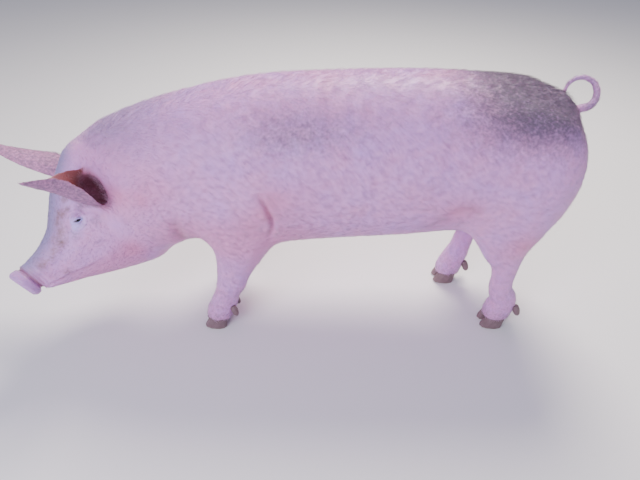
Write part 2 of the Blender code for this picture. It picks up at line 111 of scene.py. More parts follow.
def both_sides(path):
    """A line of places, and the same one on the sow's other side."""
    return path, [(x, 2 * BODY_MIDDLE - y, z) for x, y, z in path]


print("eyes", round((eye_left - eye_right).length, 3), "m apart, radius", round(EYE_RADIUS, 4), "m")

# %% [markdown]
# ## The flesh as one skin
# On the real sow the skin is one sheet from snout to tail, so every solid of flesh is copied, swollen by
# half a millimetre to bridge the thin cuts between them, and melted into one mesh by a voxel remesh. The
# eyeballs are melted in too, which leaves a swelling where the lids will be carved. Small cells keep the
# thin ears; Decimate modifiers then spend fewer faces on the plain flanks than on the head and feet.

# %% Melt the solids together
NOT_FLESH = ("claw", "dewclaw", "eye")
FLESH = sorted(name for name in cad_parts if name.split("_")[0] not in NOT_FLESH)
SWELL = 0.5 * MM
CELL = 2.5 * MM


def gathered(names, swell):
    """Copies of some solids in one bmesh, with their loose corners merged and the surface pushed out."""
    whole = bmesh.new()
    for name in names:
        part = bmesh.new()
        part.from_mesh(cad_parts[name].data)
        bmesh.ops.remove_doubles(part, verts=part.verts, dist=0.01 * MM)
        part.normal_update()
        for vert in part.verts:
            vert.co += vert.normal * swell
        mesh = bpy.data.meshes.new("part")
        part.to_mesh(mesh)
        part.free()
        whole.from_mesh(mesh)
        bpy.data.meshes.remove(mesh)
    return whole


def placed(name, mesh):
    obj = bpy.data.objects.new(name, mesh)
    bpy.context.scene.collection.objects.link(obj)
    return obj


def object_of(bm, name):
    mesh = bpy.data.meshes.new(name)
    bm.to_mesh(mesh)
    bm.free()
    return placed(name, mesh)


def bake(obj):
    """Turns an object's modifiers into its mesh."""
    graph = bpy.context.evaluated_depsgraph_get()
    mesh = bpy.data.meshes.new_from_object(obj.evaluated_get(graph))
    obj.modifiers.clear()
    obj.data = mesh


def melt(obj, cell):
    remesh = obj.modifiers.new("melt", "REMESH")
    remesh.mode = "VOXEL"
    remesh.voxel_size = cell
    bake(obj)


skin = object_of(gathered(FLESH + ["eye_left", "eye_right"], SWELL), "skin")
melt(skin, CELL)
print("melted skin:", len(skin.data.polygons), "faces")

# %% Read, smooth and write a mesh's points as rows of numbers


def read(items, field, width=1, kind=float):
    """One number, or one row of numbers, for each item of a mesh."""
    flat = np.empty(len(items) * width, kind)
    items.foreach_get(field, flat)
    return flat.reshape(-1, width) if width > 1 else flat


def points_of(obj):
    return read(obj.data.vertices, "co", 3)


def normals_of(obj):
    return read(obj.data.vertex_normals, "vector", 3)


def edges_of(obj):
    return read(obj.data.edges, "vertices", 2, int)


def put_points(obj, points):
    obj.data.vertices.foreach_set("co", points.ravel())
    obj.data.update()


def put_values(obj, name, values):
    """Keeps one number for each point of a mesh, for its material to read."""
    layer = obj.data.attributes.new(name, "FLOAT", "POINT")
    layer.data.foreach_set("value", np.ascontiguousarray(values, dtype=np.float32))


def smoothed(rows, edges, amount, rounds):
    """Draws each point's row towards its neighbours' mean, by an amount that can be its own."""
    amount = np.broadcast_to(amount, len(rows))[:, None] * 0.5
    count = np.bincount(edges.ravel(), minlength=len(rows))[:, None]
    for _ in range(rounds):
        total = np.empty_like(rows)
        for axis in range(rows.shape[1]):
            near = np.bincount(edges[:, 0], rows[edges[:, 1], axis], len(rows))
            total[:, axis] = near + np.bincount(edges[:, 1], rows[edges[:, 0], axis], len(rows))
        rows = rows + amount * (total / count - rows)
    return rows


def spread(values, edges, rounds):
    """Softens one number for each point, such as a mask of yes and no."""
    return smoothed(values.astype(float)[:, None], edges, 1.0, rounds)[:, 0]


def ramp(value, start, end):
    """0 up to start and 1 past end, rising smoothly in between."""
    t = np.clip((value - start) / (end - start), 0, 1)
    return t * t * (3 - 2 * t)


def distance_to(points, place):
    return np.linalg.norm(points - np.array(place), axis=1)


print("helpers ready")

# %% [markdown]
# A voxel mesh is a staircase of even squares. A few smoothing rounds take the stairs away, and then the
# faces are shared out: cells stay small on the head, ears, tail, lower legs and where skin folds, and the
# broad flanks are thinned to cells of about a centimetre. Smoothing those big cells afterwards melts the
# facets of the solids, and draws the skin a little inside them, where the coat will fill the difference.

# %% Where the skin needs small faces
LOWER_LEGS = ("foreleg_left", "foreleg_right", "shank_left", "shank_right")
ELBOW_FOLD = metres(
    (-34, -137, 452), (-21, -137, 422), (-12, -133, 392), (-10, -124, 362), (-18, -112, 330),
)
ARM_FOLD = metres((-205, -112, 352), (-150, -128, 348), (-90, -131, 345), (-35, -120, 340))
GROIN_FOLD = metres(
    (330, -95, 322), (362, -120, 372), (388, -127, 402), (412, -129, 416), (440, -125, 404),
)
THROAT_FOLD = metres((-236, -40, 262), (-236, -75, 300), (-232, -100, 345), (-226, -112, 385))
NIPPLE_ROWS = [-0.115 + 0.072 * i for i in range(7)]  # places along the belly
NIPPLE_SPREAD = 0.042  # from the belly's middle line
NIPPLES = []
for side in (-1, 1):
    for x in NIPPLE_ROWS:
        below = Vector((x, BODY_MIDDLE + side * NIPPLE_SPREAD, 0))
        NIPPLES.append(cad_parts["trunk"].ray_cast(below, (0, 0, 1))[1].copy())
print(len(NIPPLES), "nipples, the lowest", round(min(place.z for place in NIPPLES), 3), "m above the floor")

HEAD_BEFORE, TAIL_BEHIND = -0.3, 0.6  # places along the body that set the head and the tail apart
NODE_MARGIN = 8 * MM
FINE_FOLD, FOLD_REACH, NIPPLE_REACH, EYE_REACH = 0.014, 0.020, 0.013, 0.026  # how far small faces reach


def distance_to_path(points, path):
    """How far each point is from a line of places, and how far along the line (0 to 1) it is nearest to."""
    path = np.array([tuple(place) for place in path])
    steps = np.linalg.norm(np.diff(path, axis=0), axis=1)
    starts = np.concatenate([[0], np.cumsum(steps)])
    nearest = np.full(len(points), np.inf)
    along = np.zeros(len(points))
    for i, length in enumerate(steps):
        way = (path[i + 1] - path[i]) / length
        t = np.clip((points - path[i]) @ way, 0, length)
        away = np.linalg.norm(points - path[i] - t[:, None] * way, axis=1)
        closer = away < nearest
        nearest[closer] = away[closer]
        along[closer] = (starts[i] + t[closer]) / starts[-1]
    return nearest, along


def inside(points, nodes, margin):
    """Which points lie in the boxes of some solids, or within a margin of them."""
    found = np.zeros(len(points), bool)
    for name in nodes:
        low, high = (np.array(corner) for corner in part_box(name))
        found |= ((points > low - margin) & (points < high + margin)).all(axis=1)
    return found


def beside(points, folds, reach):
    """Which points lie near some folds, on either side of the body."""
    paths = [path for fold in folds for path in both_sides(fold)]
    return np.any([distance_to_path(points, path)[0] < reach for path in paths], axis=0)


def finest(points):
    """The ears, tail, snout, lips, eyes, nipples and the crease behind the elbow."""
    local = in_head(points)
    found = inside(points, ("ear_left", "ear_right", "tail"), NODE_MARGIN)
    found |= inside(points, ("snout", "lower_jaw"), NODE_MARGIN) & (local[:, 0] > 0.125)
    found |= (np.hypot(local[:, 0], local[:, 2]) < EYE_REACH) & (np.abs(local[:, 1]) > 0.03)
    found &= (points[:, 0] < HEAD_BEFORE) | (points[:, 0] > TAIL_BEHIND)
    for place in NIPPLES:
        found |= distance_to(points, place) < NIPPLE_REACH
    return found | beside(points, [ELBOW_FOLD], FINE_FOLD)


def plain(points):
    """Where big faces will do: not on the head, the lower legs or near a fold."""
    head = (in_head(points)[:, 0] > -0.125) & (points[:, 0] < HEAD_BEFORE)
    folds = beside(points, [ELBOW_FOLD, GROIN_FOLD, THROAT_FOLD, ARM_FOLD], FOLD_REACH)
    return ~(finest(points) | head | (points[:, 2] < 0.150) | folds)


# %% Smooth the stairs and share out the faces
MEDIUM_FACE = 15e-6  # square metres, on the head and lower legs
BROAD_FACE = 58e-6  # on the flanks
STAIR_ROUNDS = 4


def thinned(obj, free, face_area):
    """Thins the free part of a mesh until its faces have about this area."""
    sizes = read(obj.data.polygons, "area")
    loose = free[read(obj.data.polygons, "vertices", 3, int)].all(axis=1)
    group = obj.vertex_groups.new(name="free")
    group.add(np.flatnonzero(free).tolist(), 1.0, "REPLACE")
    thin = obj.modifiers.new("thin", "DECIMATE")
    thin.vertex_group = "free"
    thin.vertex_group_factor = 1.0
    thin.ratio = (np.count_nonzero(~loose) + sizes[loose].sum() / face_area) / len(sizes)
    bake(obj)
    obj.vertex_groups.clear()


put_points(skin, smoothed(points_of(skin), edges_of(skin), 1.0, STAIR_ROUNDS))
skin.modifiers.new("triangles", "TRIANGULATE").quad_method = "FIXED"
bake(skin)
thinned(skin, ~finest(points_of(skin)), MEDIUM_FACE)
thinned(skin, plain(points_of(skin)), BROAD_FACE)
print("shared out:", len(skin.data.polygons), "triangles")

# %% Melt the facets of the solids
HEAD_ROUNDS, BODY_ROUNDS = 12, 26
CONCHA, FAR_CONCHA, POLL, EAR_CORNER, CONCHA_BACK, EAR_END = from_head(*metres(
    (-90, 100, 20),  # middle of the hollow at the near ear's root
    (-80, -86, 52),  # and at the far ear's
    (-95, 10, 115),  # between the ears, where the neck's crest meets the head
    (-83, 98, 80),  # where the near ear's far rim runs into the neck
    (-88, 130, 30),  # where its hollow rolls out into the neck
    (30, 183, 137),  # just before its tip, where it is thinnest
))
points, edges = points_of(skin), edges_of(skin)
kept = inside(points, ("ear_left", "ear_right", "tail", "snout"), 5 * MM)
points = smoothed(points, edges, np.where(kept, 0.6, 1.0), 3)
points = smoothed(points, edges, spread(~kept, edges, 8), HEAD_ROUNDS)
points = smoothed(points, edges, spread(plain(points), edges, 10), BODY_ROUNDS)
for place, reach, rounds in (
    (EAR_END, 0.055, 5),
    (CONCHA, 0.055, 9),
    (EAR_CORNER, 0.028, 22),
    (CONCHA_BACK, 0.040, 45),
    (POLL, 0.110, 60),
):
    share = ramp(distance_to(points, place), reach, 0.5 * reach) * ~inside(points, ("ear_right",), 0)
    points = smoothed(points, edges, share, rounds)
put_points(skin, points)
print("smoothed", len(points), "points")

# %% [markdown]
# ## Folds and swellings
# A sow's skin creases where it bends: behind the elbow, across the top of the foreleg, in the groin and
# under the throat. Each crease is a line of places along which the skin sinks in, with a soft swelling on
# both sides where the flesh is pushed up. Swellings such as brows and nipples are soft mounds.

# %% Two sculpting tools


def sink(path, depth, width, puff=0.45, fade=0.6):
    """A crease of the skin along a path, fading out at its ends, with a swelling (puff) on either side."""
    points = points_of(skin)
    snapped = [points[np.argmin(distance_to(points, place))] for place in path]
    away, along = distance_to_path(points, snapped)
    strength = np.sin(np.pi * np.clip(along, 0.04, 0.96)) ** fade
    dip = np.exp(-((away / width) ** 2)) - puff * np.exp(-(((away - 2.1 * width) / (1.1 * width)) ** 2))
    put_points(skin, points - normals_of(skin) * (depth * strength * dip)[:, None])


def mound_at(points, place, radii):
    """1 at a place and falling softly to 0 over about two radii."""
    offset = (points - np.array(tuple(place))) / np.array(radii)
    return np.exp(-(offset**2).sum(axis=1))


def swell(mound, height):
    put_points(skin, points_of(skin) + normals_of(skin) * (height * mound)[:, None])


print("sink and swell ready")

# %% Creases of the trunk and legs
SHOULDER_HOLLOW = metres(
    (-30, -60, 622), (-4, -85, 596), (12, -110, 560), (6, -128, 515), (-20, -137, 470),
)
FLANK_HOLLOW = metres((362, -115, 545), (360, -128, 500), (352, -135, 455), (335, -132, 410))
ELBOW_BULGE = metres((-40, -138, 392))
for fold, depth, width, puff in (
    (ELBOW_FOLD, 7, 5.5, 0.25),
    (ARM_FOLD, 1.2, 7, 0.25),
    (GROIN_FOLD, 4.5, 12, 0.25),
    (THROAT_FOLD, 5, 13, 0.25),
    (SHOULDER_HOLLOW, 3.5, 26, 0.2),
    (FLANK_HOLLOW, 5, 24, 0.2),
):
    for path in both_sides(fold):
        sink(path, depth * MM, width * MM, puff)
for path in both_sides(ELBOW_BULGE):
    swell(mound_at(points_of(skin), path[0], (0.026, 0.040, 0.050)), 4 * MM)
for place in NIPPLES:
    swell(mound_at(points_of(skin), place, (6 * MM, 6 * MM, 14 * MM)), 9 * MM)
print("creased the elbows, arms, groin and throat")

# %% [markdown]
# ## The face
# Brows shade a pig's small eyes, the cheek muscle is a broad cushion, and a groove runs along the muzzle
# above the lips. Every form and crease is given for one side in the head's frame and made on both.

# %% Forms of the face, in the head's frame
FACE_FORMS = (  # place, radii and height, in millimetres
    ((-4, 66, 21), (22, 20, 9), 3.0),  # brow
    ((24, 60, -4), (13, 30, 12), -2.5),  # hollow before the eye
    ((-20, 95, -85), (50, 40, 45), 4.0),  # cheek
    ((62, 55, -62), (30, 30, 18), 2.5),  # upper lip's cushion
    ((12, 70, -104), (8, 30, 10), 2.5),  # corner of the mouth
)
FACE_CREASES = (  # path, depth and width, in millimetres, and puff
    ([(40, 62, -28), (80, 52, -34), (120, 43, -40)], 0.9, 11, 0.3),  # muzzle's groove
    ([(16, 80, -106), (60, 64, -96), (105, 46, -84), (140, 32, -76), (152, 0, -73)], 1.8, 3.2, 0.5),  # mouth
    ([(-18, 86, 12), (-30, 92, -4), (-36, 96, -26)], 1.2, 5, 0.6),  # behind the eye
    ([(-128, 126, 30), (-138, 140, -20), (-128, 146, -70)], 3.0, 7, 0.5),  # jowl and neck
    ([(-112, 120, -2), (-116, 130, -40), (-104, 134, -85)], 2.4, 6, 0.5),
    ([(-96, 112, -22), (-94, 118, -50), (-82, 120, -82)], 1.6, 5, 0.5),
)
for side in (-1, 1):
    for place, radii, height in FACE_FORMS:
        (x, y, z), radii = metres(place, radii)
        swell(mound_at(in_head(points_of(skin)), (x, side * y, z), radii), height * MM)
    for path, depth, width, puff in FACE_CREASES:
        path = from_head(*[(x, side * y, z) for x, y, z in metres(*path)])
        sink(path, depth * MM, width * MM, puff)
swell(mound_at(points_of(skin), CONCHA, (0.026, 0.026, 0.026)), 6 * MM)
print("face shaped with", len(FACE_FORMS), "forms and", len(FACE_CREASES), "creases a side")

# %% [markdown]
# ## Eyes and lids
# Small deep-set eyes look out of almond slits. The lids are drawn over the eyeball: near each eye the skin
# is first given finer faces, then wrapped to a shell a little larger than the eyeball, and inside the slit
# it sinks behind the ball. A fine crease runs above the upper lid and another below the lower one.

# %% Finer faces round the eyes and on the snout


def refine(obj, chosen):
    """Halves the edges whose two ends are chosen, and keeps every face a triangle."""
    bm = bmesh.new()
    bm.from_mesh(obj.data)
    edges = [edge for edge in bm.edges if chosen[edge.verts[0].index] and chosen[edge.verts[1].index]]
    bmesh.ops.subdivide_edges(bm, edges=edges, cuts=1, smooth=0.5, use_grid_fill=True)
    bmesh.ops.triangulate(bm, faces=bm.faces)
    bm.to_mesh(obj.data)
    bm.free()


def near_an_eye(points, reach):
    return np.minimum(*[distance_to(points, eye) for _, eye in EYES]) < reach


LID_REACH = 24 * MM
for reach in (LID_REACH, 19 * MM):
    refine(skin, near_an_eye(points_of(skin), reach))
refine(skin, (in_head(points_of(skin))[:, 0] > 0.128) & inside(points_of(skin), ("snout",), 12 * MM))
points = points_of(skin)
put_points(skin, smoothed(points, edges_of(skin), near_an_eye(points, LID_REACH) * 0.7, 6))
print("refined to", len(skin.data.polygons), "triangles")

# %% Lids
LID_THICK = 1.4 * MM
SLIT_HALF = 9.0 * MM  # from the middle of the eye to each corner
SLIT_UPPER, SLIT_LOWER = 2.8 * MM, 3.2 * MM
SLIT_SLOPE = math.radians(17)  # the front corner lies lower than the rear one when the head is level
LID_RIM, RIM_WIDTH = 0.9 * MM, 1.3 * MM  # how far the lids' edges stand out
UPPER_CREASE, LOWER_CREASE, CREASE_WIDTH = 0.8 * MM, 0.5 * MM, 1.2 * MM
SOCKET_DEPTH = 3.5 * MM  # how far the skin sinks behind the ball's surface inside the slit


def eye_axes(side):
    """Forwards along the slit, up across it, and out of the head, as unit vectors in the world."""
    out = np.array((0.10, side, 0.05)) / np.linalg.norm((0.10, side, 0.05))
    front = np.array((math.cos(SLIT_SLOPE), 0, math.sin(SLIT_SLOPE)))
    front = front - out * (front @ out)
    front /= np.linalg.norm(front)
    up = np.cross(out, front) * side
    up = up * np.sign(up[2])
    return TURN @ front, TURN @ up, TURN @ out


def from_eye(points, side, eye):
    """How far each point lies from the middle of an eye along its three axes."""
    offset = points - np.array(eye)
    return [offset @ axis for axis in eye_axes(side)]


def ripple(value, place, width):
    """A soft ridge of height 1 where a value passes a place."""
    return np.exp(-(((value - place) / width) ** 2))


def arch(along, half):
    """1 in the middle of the slit, falling to 0 at some distance along it."""
    return np.clip(1 - (along / half) ** 2, 0, 1)


for side, eye in EYES:
    points = points_of(skin)
    a, b, c = from_eye(points, side, eye)
    reach = distance_to(points, eye)
    outward = c > 0
    wrap = ramp(np.hypot(a / 20, b / 16) / MM, 1.1, 0.35) * outward
    span = arch(a, SLIT_HALF)
    gap = np.where(b > 0, SLIT_UPPER, SLIT_LOWER) * span - np.abs(b)
    opening = ramp(gap, -0.2 * MM, 0.7 * MM) * (span > 0.02) * outward
    wide_arch = arch(a, 1.7 * SLIT_HALF)
    lids = EYE_RADIUS + LID_THICK
    lids += LID_RIM * ripple(gap, -1.3 * MM, RIM_WIDTH) * (np.abs(a) < 1.25 * SLIT_HALF)
    lids -= UPPER_CREASE * ripple(b, SLIT_UPPER * wide_arch + 3.6 * MM, CREASE_WIDTH)
    lids -= LOWER_CREASE * ripple(b, -SLIT_LOWER * wide_arch - 3.4 * MM, CREASE_WIDTH)
    shell = reach + (lids - reach) * wrap
    shell = shell + (EYE_RADIUS - SOCKET_DEPTH - shell) * opening
    stretch = shell / np.maximum(reach, 1e-6)
    put_points(skin, np.array(eye) + (points - np.array(eye)) * stretch[:, None])
print("lids drawn over both eyes")

# %% [markdown]
# The eyeball itself is a glossy ball with a dark iris that nearly fills the slit. A clear cornea bulges
# over the iris, so one sphere is made with its pole looking out and the cap over the iris is raised.

# %% Eyeballs
IRIS_RADIUS = 7.2 * MM
CORNEA_RISE = 0.7 * MM
eyeballs = []
for name, side, eye in (("left", 1, eye_left), ("right", -1, eye_right)):
    bm = bmesh.new()
    bmesh.ops.create_uvsphere(bm, u_segments=48, v_segments=40, radius=EYE_RADIUS)
    for vert in bm.verts:
        away = math.hypot(vert.co.x, vert.co.y)
        if vert.co.z > 0 and away < IRIS_RADIUS:
            vert.co.z += CORNEA_RISE * (1 - (away / IRIS_RADIUS) ** 2)
    gaze = eye_axes(side)[2]
    look = Vector(gaze).to_track_quat("Z", "Y").to_matrix().to_4x4()
    look.translation = eye
    bm.transform(look)
    ball = object_of(bm, "eyeball_" + name)
    off_axis = points_of(ball) - np.array(eye)
    away = np.linalg.norm(off_axis - np.outer(off_axis @ gaze, gaze), axis=1)
    away[off_axis @ gaze < 0] = EYE_RADIUS
    put_values(ball, "off_axis", away / MM)
    ball.data.shade_smooth()
    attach(ball, "root")
    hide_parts("eye_" + name)
    eyeballs.append(ball)
print("eyeballs of", round(2000 * EYE_RADIUS), "mm")

# %% [markdown]
# ## The snout
# The gristle disc stands off the muzzle behind a deep ring-shaped crease. It has a rolled rim and two deep
# nostrils, and the skin behind it has finer wrinkles where it bends when the sow roots in the straw.

# %% Rim, wrinkles and nostrils
DISC_MIDDLE = (0.170, 0, -0.038)
NOSTRIL_OUT = 16.5 * MM


def ring_round(forward, half_width, half_height, count=28):
    """Places round the muzzle at one distance forward in the head's frame."""
    turns = [2 * math.pi * i / count for i in range(count + 1)]
    ring = [(half_width * math.sin(turn), half_height * math.cos(turn)) for turn in turns]
    return from_head(*[(forward, y, DISC_MIDDLE[2] + z) for y, z in ring])


for forward, depth, width in ((0.1560, 3.4, 3.4), (0.1465, 0.7, 2.6), (0.1380, 0.4, 2.6)):
    sink(ring_round(forward, 0.037, 0.034), depth * MM, width * MM, 0.35, 0)
for side in (-1, 1):
    nostril = (DISC_MIDDLE[0], side * NOSTRIL_OUT, DISC_MIDDLE[2] - 1 * MM)
    for radii, height in (((14, 10, 12), 1.6), ((14, 5.2, 7.0), -7.0)):
        swell(mound_at(in_head(points_of(skin)), nostril, np.array(radii) * MM), height * MM)
sink(ring_round(0.1735, 0.031, 0.028), -1.3 * MM, 3.4 * MM, 0.3, 0)
philtrum = metres((176, 0, -50), (174, 0, -62), (164, 0, -74))
sink(from_head(*philtrum), 1.6 * MM, 2.4 * MM, 0.3)
print("snout shaped")

# %% [markdown]
# ## Knees, hocks and feet
# Loose skin creases at the bend of the knee and hock, and each foot ends in a rounded edge, the coronet,
# out of which the claws grow.

# %% Creases of the legs and the coronets
KNEE_Z, FETLOCK_Z, LEG_TOP = 0.165, 0.075, 0.25
for node in LOWER_LEGS:
    points = points_of(skin)
    mine = inside(points, (node,), 3 * MM) & (points[:, 2] < LEG_TOP)
    for level, drop, depth in (
        (FETLOCK_Z, 5 * MM, 1.0 * MM),
        (FETLOCK_Z + 12 * MM, 4 * MM, 0.6 * MM),
        (KNEE_Z, 6 * MM, 0.8 * MM),
    ):
        wave = ripple(points[:, 2], level, drop) - 0.6 * ripple(points[:, 2], level - 2 * drop, drop)
        points = points - normals_of(skin) * (mine * depth * wave)[:, None]
        put_points(skin, points)

FOOT_END = 24 * MM
points = points_of(skin)
points = smoothed(points, edges_of(skin), 0.9 * ramp(points[:, 2], FOOT_END + 26 * MM, FOOT_END), 14)
put_points(skin, points)
swell(ripple(points[:, 2], FOOT_END + 12 * MM, 7 * MM), 1.4 * MM)
print("coronets rounded")

# %% [markdown]
# ## Settle the skin below the coat
# The solids reach out to the tips of the bristles, so the skin lies a little deeper where they are long.

# %% Which part of the body is each point on?
corners, faces, owners = [], [], []
for number, name in enumerate(FLESH):
    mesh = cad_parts[name].data
    start = len(corners)
    corners += [vert.co.copy() for vert in mesh.vertices]
    faces += [[start + index for index in face.vertices] for face in mesh.polygons]
    owners += [number] * len(mesh.polygons)
body_tree = BVHTree.FromPolygons(corners, faces)
owners = np.array(owners)


def parts_of(points):
    """The name of the solid of flesh that each point is nearest to."""
    nearest = [body_tree.find_nearest(place)[2] for place in points.tolist()]
    return np.array(FLESH)[owners[nearest]]


def kinds_of(parts):
    """The names of some solids without their side."""
    return np.array([name.removesuffix("_left").removesuffix("_right") for name in parts])


def share_of(*kinds):
    """1 on the skin of some kinds of part, falling softly to 0 beside them."""
    return spread(np.isin(kinds_of(skin_parts), kinds), edges_of(skin), 40)


skin_parts = parts_of(points_of(skin))
print({name: int((skin_parts == name).sum()) for name in FLESH})

# %% How long the bristles are, in millimetres
BRISTLE = {"ear": 8, "snout": 4, "lower_jaw": 9, "head": 9, "neck": 18, "trunk": 19, "shoulder": 17,
           "thigh": 17, "foreleg": 12, "shank": 12, "tail": 12}
LONGEST, LEG_CUT = 0.024, 0.010  # metres: the longest bristle, and how much shorter it is low on a leg
DEPTH_SHARE = 0.11  # of a bristle's length, which is how deep the skin lies


def bristle_lengths(points, parts, normals):
    kinds = kinds_of(parts)
    length = np.array([BRISTLE[kind] for kind in kinds]) * MM
    body = np.isin(kinds, ("neck", "trunk", "shoulder", "thigh"))
    length = np.where(body, length * (1 + 0.3 * ramp(normals[:, 2], 0.5, 0.95)), length)
    length = np.where(body, length * (1 - 0.45 * ramp(normals[:, 2], -0.4, -0.9)), length)
    return np.minimum(length, LONGEST - LEG_CUT * ramp(points[:, 2], 0.30, 0.16))


points = points_of(skin)
depth = spread(bristle_lengths(points, skin_parts, normals_of(skin)), edges_of(skin), 12) * DEPTH_SHARE
depth[near_an_eye(points, LID_REACH)] = 0
put_points(skin, points - normals_of(skin) * depth[:, None])
print("the skin lies up to", round(float(depth.max() / MM), 1), "mm deep")

# %% [markdown]
# ## Markings
# One function says how strongly each marking shows at any place on the body, and both the skin and the
# bristles that grow there take their colour from it: dusty grime on the back, rump and ears, dried mud,
# blood showing through thin skin, a painted bluish sheen of sky light down the forehead and the neck's
# crest (the marking called pale), painted shade in the hollows of the ears and nostrils, the snout's
# gristle, a painted pale sheen on the lids, and painted shade in the creases.

# %% The ears' own frames
EARS = {  # root, direction and opening in the head's frame, length, rolls at root and tip, concha's radii
    "ear_left": ((-0.086, 0.104, 0.026), (0.127, 0.086, 0.1215), (-0.40, 0.56, 0.62), 0.206, (-44, 46),
                 (0.054, 0.040, 0.026)),
    "ear_right": ((-0.085, -0.080, 0.054), (0.30, -0.44, 0.84), (0.80, -0.45, -0.40), 0.205, (0, 0),
                  (0.040, 0.027, 0.024)),
}
EAR_HALF_WIDTH, EAR_CUP, EAR_ROLLED = 0.046, 0.036, 0.72


def ear_places(points, normals, name):
    """Place along the ear (0 root, 1 tip), how far it faces into the scoop, and distance to the concha."""
    root, direction, opening, length, rolls, radii = EARS[name]
    along = np.array(direction) / np.linalg.norm(direction)
    straight = np.array(opening) - along * (np.array(opening) @ along)
    straight /= np.linalg.norm(straight)
    sideways = np.cross(along, straight)
    local = in_head(points) - np.array(root)
    t = local @ along / length
    roll = np.radians(rolls[0] + (rolls[1] - rolls[0]) * np.clip(t / EAR_ROLLED, 0, 1))[:, None]
    face = straight * np.cos(roll) + sideways * np.sin(roll)
    across = np.cross(along, face)
    s = np.clip((local * across).sum(axis=1) / EAR_HALF_WIDTH, -1, 1)
    inward = face * EAR_HALF_WIDTH - across * (2 * EAR_CUP * s)[:, None]
    inward /= np.linalg.norm(inward, axis=1)[:, None]
    half = math.radians(rolls[0] / 2)
    open_way = straight * math.cos(half) + sideways * math.sin(half)
    hollow = local - along * 0.004 + open_way * 0.010  # from the concha's middle, just inside the root
    axes = (along, np.cross(open_way, along), open_way)
    concha = np.sqrt(sum((hollow @ axis / radius) ** 2 for axis, radius in zip(axes, radii)))
    return t, ((normals @ TURN) * inward).sum(axis=1), concha


# %% How strongly each marking shows
MARKINGS = ("grime", "mud", "flush", "pale", "hollow", "gristle", "lid", "fold")
DIRT_DOTS = metres(
    (-273, -99, 488), (-349, -22, 553), (-87, -129, 494), (-127, -133, 435), (-116, -134, 435),
    (-95, -135, 436), (612, -109, 554), (504, -114, 561), (215, -136, 470), (330, 206, 500),
    (-60, 190, 520), (-180, 176, 440),
)
GRIMY_UPPER = metres(
    (-21, -79, 602), (5, -103, 577), (25, -118, 551), (125, -86, 605), (174, -100, 587), (-10, 150, 600),
    (120, 170, 580),
)
FLUSHED = metres(
    (-268, -108, 451), (-345, -93, 415), (-300, -115, 420), (-20, -137, 405), (-5, -134, 440),
    (-60, -137, 370), (-356, -82, 265), (400, -130, 405), (560, -110, 300),
)
# The next four are in the head's frame.
MUD_PATCHES = metres((16, 41, 30), (44, 46, 4), (60, 49, -13))
MUD_CRUMBS = metres(
    (-14, 47, 50), (34, 34, 20), (82, 38, -18), (64, 34, 0), (0, 54, 32), (74, 52, -26), (30, 55, 10),
    (96, 40, -30),
)
MUD_ON_FACE = metres((97, 48, -73), (120, 33, -26), (10, -78, -90), (85, -50, -70))
GRIME_ON_FACE = metres(
    (30, 62, -22), (-21, 85, -26), (6, 81, -68), (-20, 75, 20), (4, -50, 30), (-26, -80, -16),
)


def spots(points, places, radius):
    """1 at any of some places and falling softly to 0 over about twice a radius."""
    found = np.zeros(len(points))
    for place in places:
        found = np.maximum(found, np.exp(-(((points - np.array(place)) ** 2).sum(axis=1)) / radius**2))
    return found


